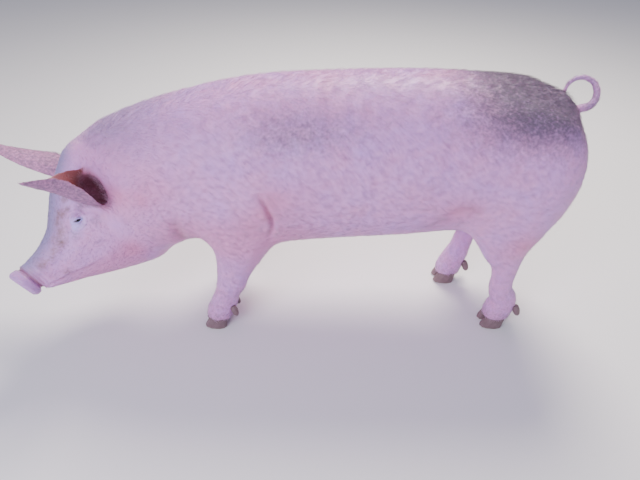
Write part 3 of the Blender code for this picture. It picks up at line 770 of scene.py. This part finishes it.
def marks(points, normals, parts, fold):
    """Shares from 0 to 1 of every marking; fold says how deep in a crease each point lies."""
    local = in_head(points)
    forward, left, up = local.T
    x, y, z = points.T
    facing_up = normals[:, 2]
    head = share_of("head", "snout", "lower_jaw")
    neck, ears, tail = share_of("neck"), share_of("ear"), share_of("tail")
    topside = ramp(facing_up, 0.20, 0.95) * (1 - head) * (1 - ears)
    near_side = np.stack([x, BODY_MIDDLE - np.abs(y - BODY_MIDDLE), z], axis=1)
    rump = ramp(x, 0.20, 0.52) * ramp(z, 0.44, 0.63) * (1 - 0.8 * tail)
    band = ramp(np.abs(x - 0.06), 0.26, 0.02) * ramp(np.abs(z - 0.575), 0.09, 0.01)
    # strip and crest paint a bluish sheen of sky light on the forehead's top and the neck's crest
    strip = head * ramp(np.abs(left), 0.072, 0.008) * ramp(up + 0.3 * forward, -0.020, 0.030)
    crest = ramp(facing_up, 0.30, 0.95) * neck
    # painted shade in the ring-shaped crease behind the snout's disc
    painted_shade_behind_disc = ripple(forward, 0.1545, 3.5 * MM) * head
    grime = [
        np.minimum(1.1 * rump, 1),
        0.75 * band,
        0.7 * spots(points, GRIMY_UPPER, 0.030),
        0.95 * head * spots(local, GRIME_ON_FACE, 0.015),
        0.45 * ramp(z, 0.20, 0.04),
        0.70 * tail,
        0.80 * ears,
        0.45 * topside,
    ]
    mud = [
        spots(points, DIRT_DOTS, 0.0032),
        0.95 * head * spots(local, MUD_ON_FACE, 0.013),
        1.00 * head * spots(local, MUD_PATCHES, 0.018),
        0.95 * head * spots(local, MUD_CRUMBS, 0.011),
        0.6 * ramp(z, 0.100, 0.030),
        0.35 * ramp(z, 0.30, 0.12),
    ]
    flush = [
        0.75 * spots(near_side, FLUSHED, 0.045),
        spots(points, NIPPLES, 0.011),
        0.5 * ears,
        0.6 * ramp(np.abs(z - 0.32), 0.10, 0.02) * ramp(x, 0.16, 0.04) * (1 - head),
        0.5 * head * ramp(up, -0.075, -0.115),
        0.35 * (head + neck) * ramp(forward, -0.05, -0.13) * ramp(forward, -0.30, -0.16),
    ]
    # The hollow marking paints shade inside each ear's scoop and round its concha, and inside each nostril.
    hollow = []
    for name in EARS:
        along, facing, concha = ear_places(points, normals, name)
        scoop = (parts == name) * ramp(facing, -0.05, 0.55) * ramp(along, 1.0, 0.30)
        hollow += [scoop * ramp(concha, 0.7, 1.2), 0.6 * ramp(concha, 1.5, 0.85)]
        flush.append(0.8 * ramp(concha, 1.7, 0.9))
    lid = []
    for side, eye in EYES:
        nostril = (DISC_MIDDLE[0] - 3 * MM, side * NOSTRIL_OUT, DISC_MIDDLE[2] - 1 * MM)
        # painted shade inside the nostril
        hollow.append(0.9 * ramp(mound_at(local, nostril, (9 * MM, 5 * MM, 6.5 * MM)), 0.40, 0.75))
        a, b, c = from_eye(points, side, eye)
        # The lid marking paints a pale lavender sheen on the lids and on a patch round each eye.
        lid.append(ramp(np.hypot(a / (1.25 * SLIT_HALF), b / (1.9 * SLIT_LOWER)), 1.3, 0.8) * (c > 0))
        lid.append(0.7 * ramp(np.hypot((a - 0.010) / 0.034, (b + 0.006) / 0.024), 1.1, 0.1) * (c > 0))
    found = {
        "grime": grime,
        "mud": mud,
        "flush": flush,
        # the marking called pale is this painted sky sheen
        "pale": [0.80 * strip, 0.6 * crest],
        "hollow": hollow,
        "gristle": [head * ramp(forward, 0.150, 0.160)],
        "lid": lid,
        # fold paints shade in the creases and behind the disc
        "fold": [fold, 0.85 * painted_shade_behind_disc],
    }
    edges = edges_of(skin)
    return {name: spread(np.maximum.reduce(shares), edges, 3) for name, shares in found.items()}


def crease_shares(obj):
    """1 in the bottom of a crease, from how far a point lies below its smoothed neighbourhood; it sets the
    painted shade of creases.
    """
    points, edges = points_of(obj), edges_of(obj)
    below = ((smoothed(points, edges, 1.0, 5) - points) * normals_of(obj)).sum(axis=1)
    return 0.7 * ramp(below, 0.15 * MM, 1.1 * MM) * np.where(plain(points), 0.25, 1.0)


skin_parts = parts_of(points_of(skin))
skin_marks = marks(points_of(skin), normals_of(skin), skin_parts, crease_shares(skin))
for name in MARKINGS:
    put_values(skin, name, skin_marks[name])
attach(skin, "root")
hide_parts(*FLESH)
skin.data.shade_smooth()
print("marked the skin with", ", ".join(MARKINGS))

# %% [markdown]
# ## Skin
# Live pig skin is thin, moist and slightly see-through, so blood tints it. Its finish is satin, with a fine
# net of pores and creases 1 to 6 mm apart and streaks where bristles press on it. The gristle of the snout
# is wetter, and pebbled.

# %% Colours and helpers for nodes


def hex_colour(code, alpha=1.0):
    """A Blender colour, which is linear, from an sRGB hex code."""
    channels = [int(code[i : i + 2], 16) / 255 for i in (1, 3, 5)]
    linear = [c / 12.92 if c <= 0.04045 else ((c + 0.055) / 1.055) ** 2.4 for c in channels]
    return (*linear, alpha)


def add(tree, kind, settings=None, inputs=None, out=0):
    """Adds a node with its settings, sets or links its inputs, and gives one of its outputs."""
    node = tree.nodes.new("ShaderNode" + kind)
    for name, value in (settings or {}).items():
        setattr(node, name, value)
    for key, value in (inputs or {}).items():
        if isinstance(value, bpy.types.NodeSocket):
            tree.links.new(value, node.inputs[key])
        else:
            node.inputs[key].default_value = value
    return node.outputs[out] if node.outputs else node


def maths(tree, operation, *values):
    return add(tree, "Math", {"operation": operation}, dict(enumerate(values)))


def remap(tree, value, start, end, low=0.0, high=1.0, kind="LINEAR"):
    """Low up to start and high past end."""
    inputs = {0: value, 1: start, 2: end, 3: low, 4: high}
    return add(tree, "MapRange", {"interpolation_type": kind}, inputs)


def mix(tree, share, first, second):
    """The first colour, turning to the second as the share rises. Each is a hex code or a node's."""
    first, second = (hex_colour(end) if isinstance(end, str) else end for end in (first, second))
    return add(tree, "Mix", {"data_type": "RGBA"}, {0: share, 6: first, 7: second}, 2)


def noise(tree, place, size, detail, roughness=0.5):
    inputs = {"Vector": place, "Scale": 1 / size, "Detail": detail, "Roughness": roughness}
    return add(tree, "TexNoise", {}, inputs, "Fac")


def cells(tree, place, size):
    """0 in the middle of each rounded cell of about a size."""
    inputs = {"Vector": place, "Scale": 1 / size}
    return add(tree, "TexVoronoi", {"feature": "SMOOTH_F1"}, inputs, "Distance")


def value_of(tree, name):
    return add(tree, "Attribute", {"attribute_name": name}, out="Fac")


def new_material(name, dress):
    """A material whose shader's inputs are what dress makes, from the places on the object."""
    material = bpy.data.materials.new(name)
    material.use_nodes = True
    tree = material.node_tree
    tree.nodes.clear()
    shader = add(tree, "BsdfPrincipled", {}, dress(tree, add(tree, "TexCoord", out="Object")))
    add(tree, "OutputMaterial", {}, {"Surface": shader})
    print("material", name, "with", len(tree.nodes), "nodes")
    return material


# %% The colour of skin and bristles from the markings
FLESH_PINK, FLESH_LILAC = "#eea2cc", "#cca0ee"
# Of these colours, the bluish sky sheen and the lids' pale lavender are painted sheen, and the hollows' and
# creases' colours are painted shade.
BLOOD, PAINTED_SKY_SHEEN, DUST, MUD, PAINTED_HOLLOW_SHADE = "#e084a4", "#7a7ea6", "#66586c", "#856658", "#80474a"
GRISTLE, PAINTED_LID_SHEEN, PAINTED_CREASE_SHADE = "#bf8fcb", "#c3bcfb", "#8f5668"
BLOTCH, FLECK, CRUMB = 70 * MM, 4 * MM, 6 * MM  # sizes of cloudy changes, flecks and crumbs of dirt
CLOUD_ROUGHNESS = 0.62


def body_colour(tree, place):
    """The skin's colour at a place with every marking on it, and the markings' shares."""
    share = {name: value_of(tree, name) for name in MARKINGS}
    blotch = noise(tree, place, BLOTCH, 3, CLOUD_ROUGHNESS)
    flecks = noise(tree, place, FLECK, 3, CLOUD_ROUGHNESS)
    crumbs = noise(tree, place, CRUMB, 6, CLOUD_ROUGHNESS)
    red = maths(tree, "MULTIPLY", maths(tree, "MULTIPLY", share["flush"], blotch), 1.5)
    dirt = {}
    for name in ("grime", "mud"):  # noise breaks up the edge of dirt
        uneven = maths(tree, "ADD", share[name], maths(tree, "MULTIPLY_ADD", crumbs, 1.7, -0.85))
        edged = remap(tree, uneven, 0.15, 1.10, kind="SMOOTHSTEP")
        dirt[name] = maths(tree, "MULTIPLY", edged, share[name])
    colour = mix(tree, blotch, FLESH_PINK, FLESH_LILAC)
    for amount, code in (
        (red, BLOOD),
        # painted bluish sheen of sky light
        (share["pale"], PAINTED_SKY_SHEEN),
        (share["gristle"], GRISTLE),
        (dirt["grime"], DUST),
        (dirt["mud"], MUD),
        (remap(tree, flecks, 0.32, 0.46, 0.09, 0.0), DUST),
        # painted shade in creases
        (share["fold"], PAINTED_CREASE_SHADE),
        # painted shade in the ears' hollows and the nostrils
        (share["hollow"], PAINTED_HOLLOW_SHADE),
        # painted pale sheen on the lids
        (share["lid"], PAINTED_LID_SHEEN),
    ):
        colour = mix(tree, amount, colour, code)
    return colour, share


# %% Skin material
PORES, CREASES, STREAKS, COBBLES = 1.6 * MM, 6 * MM, 2.2 * MM, 3.2 * MM


def live_skin(tree, place):
    colour, share = body_colour(tree, place)
    comb = {"Vector": place, "Rotation": (0, math.radians(38), 0), "Scale": (0.12, 1, 1.6)}
    streaks = noise(tree, add(tree, "Mapping", {}, comb), STREAKS, 2)
    pebbles = maths(tree, "MULTIPLY", cells(tree, place, COBBLES), share["gristle"])
    relief = {}
    for height, strength, rise in (
        (cells(tree, place, PORES), 0.25, 0.3),
        (noise(tree, place, CREASES, 4), 0.35, 0.6),
        (streaks, 0.3, 0.4),
        (pebbles, 0.8, 0.7),
    ):
        relief.update({"Height": height, "Strength": strength, "Distance": rise * MM})
        relief["Normal"] = add(tree, "Bump", {}, relief)
    return {
        "Base Color": colour,
        "Roughness": remap(tree, share["gristle"], 0, 1, 0.50, 0.27),
        "Normal": relief["Normal"],
        "IOR": 1.42,
        "Subsurface Weight": 0.12,
        "Subsurface Radius": (1.0, 0.40, 0.25),
        "Subsurface Scale": 4 * MM,
    }


skin.data.materials.clear()
skin.data.materials.append(new_material("pig_skin_satin", live_skin))

# %% Eye material
PUPIL_EDGE, IRIS_EDGE = (2.7, 3.3), (6.8, 7.6)  # from the middle, in millimetres, as off_axis is
EYE_FIBRES = 1.2 * MM
PUPIL_BLACK, IRIS_DARK, IRIS_GREY, EYE_WHITE = "#08070a", "#33292f", "#57506a", "#a08a90"


def wet_eye(tree, place):
    off_axis = value_of(tree, "off_axis")
    iris = mix(tree, noise(tree, place, EYE_FIBRES, 3), IRIS_DARK, IRIS_GREY)
    colour = mix(tree, remap(tree, off_axis, *PUPIL_EDGE), PUPIL_BLACK, iris)
    colour = mix(tree, remap(tree, off_axis, *IRIS_EDGE), colour, EYE_WHITE)
    wet = {"Coat Weight": 1.0, "Coat Roughness": 0.03}
    return {"Base Color": colour, "Roughness": 0.12, "IOR": 1.38, **wet}


eye_material = new_material("eye_wet_gloss", wet_eye)
for ball in eyeballs:
    ball.data.materials.append(eye_material)

# %% [markdown]
# ## Claws
# Each foot has two main claws and two dewclaws of grey-purple horn, which grows down in fine rings and
# wears brown at the edge. A copy of each claw's solid is rounded by a remesh and smoothing, and a main
# claw's top is drawn up into the skin so that no gap shows at the coronet.

# %% Horn pieces
RING_SPACING = 4 * MM
RING_HEIGHT = 0.16 * MM
HORN_CELL = 1.5 * MM
STANDING = 5 * MM  # a main claw's lowest point is under this height; a dewclaw's isn't


def claw(node):
    piece = object_of(gathered([node], 0.2 * MM), node.replace("claw", "horn", 1))
    melt(piece, HORN_CELL)
    points = smoothed(points_of(piece), edges_of(piece), 1.0, 5)
    put_points(piece, points)
    low, high = points[:, 2].min(), points[:, 2].max()
    rings = RING_HEIGHT * np.sin(points[:, 2] * 2 * math.pi / RING_SPACING)
    points = points + normals_of(piece) * (rings * ramp(points[:, 2], low + 2 * MM, low + 6 * MM))[:, None]
    if low < STANDING:
        points[:, 2] += 5 * MM * ramp(points[:, 2], high - 8 * MM, high)
        points[:, 2] = np.maximum(points[:, 2], 0.1 * MM)
    put_points(piece, points)
    piece.data.shade_smooth()
    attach(piece, "root")
    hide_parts(node)
    return piece


claws = [claw(node) for node in sorted(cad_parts) if node.split("_")[0] in ("claw", "dewclaw")]
print(len(claws), "pieces of horn,", sum(len(piece.data.polygons) for piece in claws), "faces")

# %% Horn material
HORN_FIBRES, HORN_STAINS = 1.5 * MM, 12 * MM
HORN_PURPLE, HORN_ROSE, HORN_STAIN, HORN_WORN = "#7b626c", "#957a80", "#66504f", "#8a7460"


def grown_horn(tree, place):
    height = add(tree, "SeparateXYZ", {}, {0: place}, "Z")
    stretched = add(tree, "Mapping", {}, {"Vector": place, "Scale": (1, 1, 0.15)})
    fibres = noise(tree, stretched, HORN_FIBRES, 3)
    colour = mix(tree, fibres, HORN_PURPLE, HORN_ROSE)
    colour = mix(tree, noise(tree, place, HORN_STAINS, 4), colour, HORN_STAIN)
    colour = mix(tree, remap(tree, height, 7 * MM, 0.5 * MM, 0.0, 0.7), colour, HORN_WORN)
    bump = add(tree, "Bump", {}, {"Height": fibres, "Strength": 0.4, "Distance": 0.4 * MM})
    return {"Base Color": colour, "Roughness": 0.55, "Normal": bump, "IOR": 1.54}


horn_material = new_material("hoof_horn_matte", grown_horn)
for piece in claws:
    piece.data.materials.append(horn_material)

# %% [markdown]
# ## Coat
# A pig's coat is thin: stiff pale bristles that lie back along the body and let the pink show through. They
# are a few millimetres long on the snout, up to 30 on the back and up to 40 at the ears' edges. Hair curves
# would be lost on export, so each tuft is three solid blades, one template placed 40,000 times by arrays.
# Tufts root evenly over the skin and point the way hair grows: back from the snout, back and down on the
# flanks, down the legs, out along the ears.

# %% One tuft, of unit length along X
BLADES = ((0.0, 0.0, 1.0), (0.12, 0.22, 0.82), (-0.05, -0.20, 0.90))  # start along, start across, length


def add_blade(bm):
    """A three-sided hair along X, thin and tapered to a point."""
    made = bmesh.ops.create_circle(bm, segments=3, radius=0.5, cap_ends=True)["verts"]
    bmesh.ops.transform(bm, matrix=Matrix.Rotation(math.radians(90), 4, "Y"), verts=made)
    tip = made[0].link_faces[0]
    verts = list(made)
    for step, width in ((0.5, 0.75), (0.5, 0.0)):  # how far along, and the width left there
        out = bmesh.ops.extrude_face_region(bm, geom=[tip], use_keep_orig=len(verts) == 3)["geom"]
        moved = [part for part in out if isinstance(part, bmesh.types.BMVert)]
        tip = [part for part in out if isinstance(part, bmesh.types.BMFace)][0]
        middle = sum((vert.co for vert in moved), Vector()) / 3
        shrink = Matrix.Diagonal((1, width, width, 1))
        bmesh.ops.transform(bm, matrix=shrink, verts=moved, space=Matrix.Translation(-middle))
        bmesh.ops.translate(bm, vec=(step, 0, 0), verts=moved)
        verts += moved
    bmesh.ops.remove_doubles(bm, verts=verts, dist=0.004)


def tuft_template():
    """The tuft's points, each point's blade as (start along, start across, length), and its faces."""
    all_points, all_blades, all_faces = [], [], []
    for shape in BLADES:
        bm = bmesh.new()
        add_blade(bm)
        bmesh.ops.triangulate(bm, faces=bm.faces)
        bmesh.ops.recalc_face_normals(bm, faces=bm.faces)
        bm.verts.index_update()
        begin = len(all_points)
        all_points += [tuple(vert.co) for vert in bm.verts]
        all_blades += [shape] * len(bm.verts)
        all_faces += [[begin + vert.index for vert in face.verts] for face in bm.faces]
        print("blade of", len(bm.verts), "points, volume", round(bm.calc_volume(signed=True), 3))
        bm.free()
    return np.array(all_points), np.array(all_blades), np.array(all_faces)


TUFT, TUFT_BLADES, TUFT_FACES = tuft_template()
print("a tuft has", len(TUFT), "points and", len(TUFT_FACES), "faces")

# %% The way the hair grows


def unit(rows):
    return rows / np.maximum(np.linalg.norm(rows, axis=1), 1e-9)[:, None]


def laid_flat(rows, normals):
    """Directions as unit vectors along the skin."""
    return unit(rows - normals * (rows * normals).sum(axis=1)[:, None])


def lie_of(points, normals, parts):
    """Unit directions along the skin in which bristles point."""
    count = len(points)
    steep = 0.35 + 1.05 * ramp(points[:, 2], 0.34, 0.50) * ramp(points[:, 0], -0.30, -0.05)
    way = np.stack([np.ones(count), np.zeros(count), -steep], axis=1)
    legs = ramp(points[:, 2], 0.36, 0.24)[:, None]
    way = way * (1 - legs) + np.array((0.35, 0, -1.3)) * legs
    way[np.isin(parts, ("head", "snout", "lower_jaw"))] = -TURN[:, 0] - np.array((0, 0, 0.15))
    for name, shape in EARS.items():
        way[parts == name] = TURN @ (np.array(shape[1]) / np.linalg.norm(shape[1]))
    tail = parts == "tail"  # the hair runs round its ring
    way[tail] = np.cross(points[tail] - np.array(middle_of("tail")), (0.0, 1.0, -0.4)) * 10
    return laid_flat(way, normals)


# %% Spread the coat's measures over the skin, with no step from part to part
TUFTS_PER_SQUARE_METRE = {
    "ear": 26000, "snout": 16000, "lower_jaw": 36000, "head": 38000, "neck": 25000, "trunk": 23000,
    "shoulder": 24000, "thigh": 23500, "foreleg": 28000, "shank": 28000, "tail": 50000,
}
THICK = {"head": 0.30, "snout": 0.26, "lower_jaw": 0.32, "ear": 0.28, "foreleg": 0.42, "shank": 0.42}
USUAL_THICK = 0.35  # millimetres, as above
MEASURE_ROUNDS = 30
kinds = kinds_of(skin_parts)
points, normals, edges = points_of(skin), normals_of(skin), edges_of(skin)
grain = smoothed(lie_of(points, normals, skin_parts), edges, 1.0, MEASURE_ROUNDS)
measures = np.stack([
    bristle_lengths(points, skin_parts, normals),
    np.array([THICK.get(kind, USUAL_THICK) for kind in kinds]) * MM,
    np.array([TUFTS_PER_SQUARE_METRE[kind] for kind in kinds], float),
], axis=1)
measures = smoothed(measures, edges, 1.0, MEASURE_ROUNDS)
bare = np.maximum.reduce([
    skin_marks["gristle"],
    skin_marks["hollow"] * 0.6,
    ramp(skin_marks["lid"], 0.7, 0.95),
    skin_marks["fold"] * 0.7,
    0.45 * ramp(normals[:, 2], -0.5, -0.95),  # the belly's hair is sparse
    points[:, 2] < FOOT_END + 2 * MM,
])
proud = ((points - smoothed(points, edges, 1.0, 6)) * normals).sum(axis=1)
ear_rim = ramp(proud, 0.6 * MM, 1.5 * MM) * (kinds == "ear")
print("measures spread over", len(points), "points")

# %% Roots of the tufts
rng = np.random.default_rng(12)
corners = read(skin.data.polygons, "vertices", 3, int)
wanted = (measures[:, 2] * (1 - bare))[corners].mean(axis=1) * read(skin.data.polygons, "area")
count = int(wanted.sum())
steps = (np.arange(count) + rng.random(count)) * wanted.sum() / count
chosen = np.minimum(np.searchsorted(np.cumsum(wanted), steps), len(corners) - 1)
u, v = rng.random(count), rng.random(count)
over = u + v > 1
u[over], v[over] = 1 - u[over], 1 - v[over]
shares = np.stack([1 - u - v, u, v], axis=1)[:, :, None]


def at_roots(values):
    """A value of each point of the skin, read at the tufts' roots."""
    rows = values.reshape(len(values), -1)
    found = (rows[corners[chosen]] * shares).sum(axis=1)
    return found[:, 0] if values.ndim == 1 else found


tufts = {name: at_roots(skin_marks[name]) for name in MARKINGS}  # and below, all else that each tuft has
tufts["root"] = roots = at_roots(points)
tufts["lift"] = lifts = unit(at_roots(normals))
tufts["part"] = skin_parts[corners[chosen, 0]]
print(count, "tufts rooted")

# %% Each tuft's length, thickness, tilt and heading
rim = at_roots(ear_rim)
length, thick = at_roots(measures)[:, :2].T
length = length * (0.75 + 0.5 * rng.random(count)) * (1 + 0.9 * rim)
on_top = ramp(lifts[:, 2], 0.6, 0.95) * (roots[:, 2] > 0.4)
tilt = np.radians(4 + 4 * rng.random(count) ** 2 + 6 * on_top * rng.random(count) + 24 * rim)
heading = at_roots(grain)
# Long bristles hang over the edge of each ear's hollow.
for name, middle in (("ear_left", CONCHA), ("ear_right", FAR_CONCHA)):
    concha = at_roots(ear_places(points, normals, name)[2])
    border = ramp(concha, 2.0, 1.35) * ramp(concha, 0.90, 1.15)
    length = length * (1 + 1.3 * border)
    tilt = tilt + np.radians(13) * border
    inward = unit(np.array(middle) - roots)
    heading = heading * (1 - 0.8 * border)[:, None] + inward * (0.8 * border)[:, None]
heading = laid_flat(heading, lifts)
swerve = (np.radians(7) * rng.standard_normal(count))[:, None]
heading = heading * np.cos(swerve) + np.cross(lifts, heading) * np.sin(swerve)
tufts.update(way=heading, length=length, thick=thick, tilt=tilt)

# %% [markdown]
# A row of lashes arches out of each upper lid, and a patch of longer, stiffer bristles stands on the brow
# above it. They are tufts like all others, but their places and directions follow the eye's own axes.

# %% Lashes and the stiff bristles of the brow
LASHES, BROWS = 16, 14  # on each eye
LASH_THICK, BROW_THICK = 0.22 * MM, 0.26 * MM
BROW_HEIGHT = 13 * MM  # above the middle of the eye
BROW_LONG, BROW_HIGH = 17 * MM, 4 * MM  # half the brow's size


def grow(places, lifts, ways, reach, width, lean):
    """Adds tufts at places of their own, each with the side it arches to and the way it points."""
    many = len(places)
    more = {
        "root": places,
        "lift": lifts,
        "way": laid_flat(ways, lifts),
        "length": reach * MM,
        "thick": np.full(many, width),
        "tilt": np.full(many, math.radians(lean)),
        "part": np.full(many, "head"),
    }
    for name in tufts:
        tufts[name] = np.concatenate([tufts[name], more.get(name, np.zeros(many))])


for side, eye in EYES:
    front, up, out = eye_axes(side)
    share = np.linspace(-0.75, 0.95, LASHES)
    a, b = share * SLIT_HALF, SLIT_UPPER * (1 - share**2) + 0.6 * MM
    c = np.sqrt((EYE_RADIUS + 0.6 * LID_THICK) ** 2 - a**2 - b**2)
    places = np.array(eye) + np.outer(a, front) + np.outer(b, up) + np.outer(c, out)
    ways = out + np.outer(0.2 + 0.5 * share, front) - 0.45 * up
    grow(places, np.tile(up, (LASHES, 1)), ways, 9 + 3 * rng.random(LASHES), LASH_THICK, 8)
    a, b, c = from_eye(points, side, eye)
    brow = (np.abs(a) < BROW_LONG) & (np.abs(b - BROW_HEIGHT) < BROW_HIGH) & (c > 0)
    near = rng.choice(np.flatnonzero(brow), BROWS)
    ways = np.tile(0.7 * out + 0.25 * up - 0.5 * front, (BROWS, 1))
    grow(points[near], normals[near], ways, 12 + 8 * rng.random(BROWS), BROW_THICK, 24)

lengths = tufts["length"] / MM
print("bristles", round(lengths.min()), "to", round(lengths.max()), "mm long")

# %% Join the tufts of each patch of the coat
SUNK = 0.5 * MM  # how far a root starts below the skin
PATCH_WIDTH = 0.003  # of a tuft on the unwrap
BOW = 0.62 * math.pi  # how far round a half circle a blade bends
FAN = 0.10  # how far the blades of a tuft spread


def unwrap(places, axis):
    """Places on a sheet wrapped round an axis through their middle: turn and way along, both 0 to 1."""
    offset = np.delete(places - places.mean(axis=0), axis, axis=1)
    sheet = np.stack([np.arctan2(offset[:, 0], offset[:, 1]), places[:, axis]], axis=1)
    low, high = sheet.min(axis=0), sheet.max(axis=0)
    return 0.01 + (sheet - low) / (high - low) * 0.975


def blade_points(mine):
    """The places of all points of some tufts: a row for each tuft, and in it a row for each point."""
    here = {name: tufts[name][mine][:, None] for name in ("root", "lift", "way", "length", "thick", "tilt")}
    begin, aside, share = TUFT_BLADES.T[:, None]
    reach, (step, left, up) = here["length"], TUFT.T[:, None]
    fan = FAN * rng.standard_normal((len(mine), len(BLADES))).repeat(len(TUFT) // len(BLADES), axis=1)
    along = step * share * reach
    x = begin * reach + along
    y = aside * 0.9 * reach + left * here["thick"] + fan * along
    z = np.tan(here["tilt"]) * reach * share * (np.sin(step * BOW) / math.sin(BOW)) - SUNK
    z = z + up * here["thick"]
    sideways = np.cross(here["lift"], here["way"])
    places = here["root"] + x[:, :, None] * here["way"]
    return places + y[:, :, None] * sideways + z[:, :, None] * here["lift"]


def coat_piece(name, mine, axis):
    """One mesh of all the tufts whose indices are given."""
    many = len(mine)
    faces = (TUFT_FACES[None] + (np.arange(many) * len(TUFT))[:, None, None]).reshape(-1)
    mesh = bpy.data.meshes.new(name)
    mesh.vertices.add(many * len(TUFT))
    mesh.vertices.foreach_set("co", blade_points(mine).reshape(-1))
    mesh.loops.add(len(faces))
    mesh.loops.foreach_set("vertex_index", faces)
    mesh.polygons.add(len(faces) // 3)
    mesh.polygons.foreach_set("loop_start", np.arange(0, len(faces), 3))
    mesh.update(calc_edges=True)
    patch = np.stack([TUFT[:, 0], TUFT[:, 1] + 0.5], axis=1) * PATCH_WIDTH
    sheet = (unwrap(tufts["root"][mine], axis)[:, None, :] + patch[None]).reshape(-1, 2)
    mesh.uv_layers.new(name="OFBake").data.foreach_set("uv", sheet[faces].reshape(-1))
    piece = placed(name, mesh)
    for marking in MARKINGS:
        put_values(piece, marking, tufts[marking][mine].repeat(len(TUFT)))
    put_values(piece, "tip", np.tile(TUFT[:, 0], many))
    mesh.shade_smooth()
    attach(piece, "root")
    return piece


STAGES = ("fore", "waist", "loin", "rump", "stern")  # along the trunk, from the shoulders back
STAGE_ENDS = (-0.12, 0.12, 0.36, 0.56)
PATCH_OF_KIND = {"head": "head", "snout": "head", "lower_jaw": "head", "ear": "ears", "tail": "tail",
                 "foreleg": "forelegs", "shank": "hindlegs"}


def patch_name(place, kind):
    """The patch of the coat in which a tuft grows."""
    if kind in PATCH_OF_KIND:
        return "coat_" + PATCH_OF_KIND[kind]
    stage = "neck" if kind == "neck" else STAGES[int(np.searchsorted(STAGE_ENDS, place[0]))]
    return "coat_" + stage + ("_left" if place[1] < BODY_MIDDLE else "_right")


names = np.array([patch_name(place, kind) for place, kind in zip(tufts["root"], kinds_of(tufts["part"]))])
coat = []
for name in sorted(set(names)):
    coat.append(coat_piece(name, np.flatnonzero(names == name), 2 if "legs" in name else 0))
print({piece.name: len(piece.data.polygons) for piece in coat})
print("coat", sum(len(piece.data.polygons) for piece in coat), "triangles")

# %% Bristle material
BRISTLE_PALE, BRISTLE_GOLD = "#f4e8ff", "#e6cde0"
STRAND = 9 * MM  # size of the changes from pale to gold
ROOT_SHARE, TIP_SHARE = 0.20, 0.58  # of a bristle's own colour over the skin's


def bristle(tree, place):
    colour, share = body_colour(tree, place)
    light = remap(tree, value_of(tree, "tip"), 0, 1, ROOT_SHARE, TIP_SHARE)
    # Hair shows more of the skin's colour where there is dirt, painted shade in the hollows, and the painted
    # sky sheen.
    dirt_shade_and_sheen = maths(tree, "MULTIPLY", share["hollow"], 0.6)
    for name in ("mud", "grime", "pale"):
        dirt_shade_and_sheen = maths(tree, "MAXIMUM", dirt_shade_and_sheen, share[name])
    free_of_dirt_shade_and_sheen = maths(tree, "MULTIPLY_ADD", dirt_shade_and_sheen, -0.8, 1.0)
    hair = mix(tree, noise(tree, place, STRAND, 2), BRISTLE_PALE, BRISTLE_GOLD)
    colour = mix(tree, maths(tree, "MULTIPLY", light, free_of_dirt_shade_and_sheen), colour, hair)
    return {"Base Color": colour, "Roughness": 0.42, "IOR": 1.55, "Sheen Weight": 0.2}


bristle_material = new_material("pig_bristle_keratin", bristle)
for piece in coat:
    piece.data.materials.append(bristle_material)

# %% [markdown]
# ## Floor, light and camera
# A broad pale floor and large soft lights show the form without hard shadows. A warm light stands high on
# the far side, as sun through a barn door would, and a larger, cooler one fills the near side. The camera
# stands about a metre up beside the near flank and looks down on it.

# %% Floor

floor_bm = bmesh.new()
bmesh.ops.create_grid(floor_bm, x_segments=8, y_segments=8, size=9)
floor = object_of(floor_bm, "floor")
floor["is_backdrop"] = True
print("floor laid")

# %% Lights and camera
scene = bpy.context.scene


def soft_light(name, place, target, size, power, colour):
    light = bpy.data.lights.new(name, "AREA")
    light.shape = "DISK"
    light.size = size
    light.energy = power
    light.color = hex_colour(colour)[:3]
    lamp = placed(name, light)
    lamp.location = place
    lamp.rotation_euler = (Vector(target) - Vector(place)).to_track_quat("-Z", "Y").to_euler()


soft_light("high_light", (0.5, 1.3, 2.4), (0.1, 0.05, 0.45), 1.1, 130, "#fff4ea")
soft_light("near_light", (-1.4, -2.6, 2.2), (0, 0, 0.3), 2.4, 128, "#eeeaff")
scene.world = bpy.data.worlds.new("studio")
scene.world.use_nodes = True
sky = scene.world.node_tree.nodes["Background"].inputs
sky["Color"].default_value = hex_colour("#dedef4")
sky["Strength"].default_value = 0.50

camera = placed("camera", bpy.data.cameras.new("camera"))
camera.data.lens = 28.8
camera.location = (0.0951, -1.0352, 1.04)
camera.rotation_euler = (math.radians(52), 0, 0)
scene.camera = camera

# %% Measure and finish
seen_low, seen_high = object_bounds()
growth = (seen_high - seen_low) - (cad_high - cad_low)
print("grown by", [round(1000 * side, 1) for side in growth], "mm")
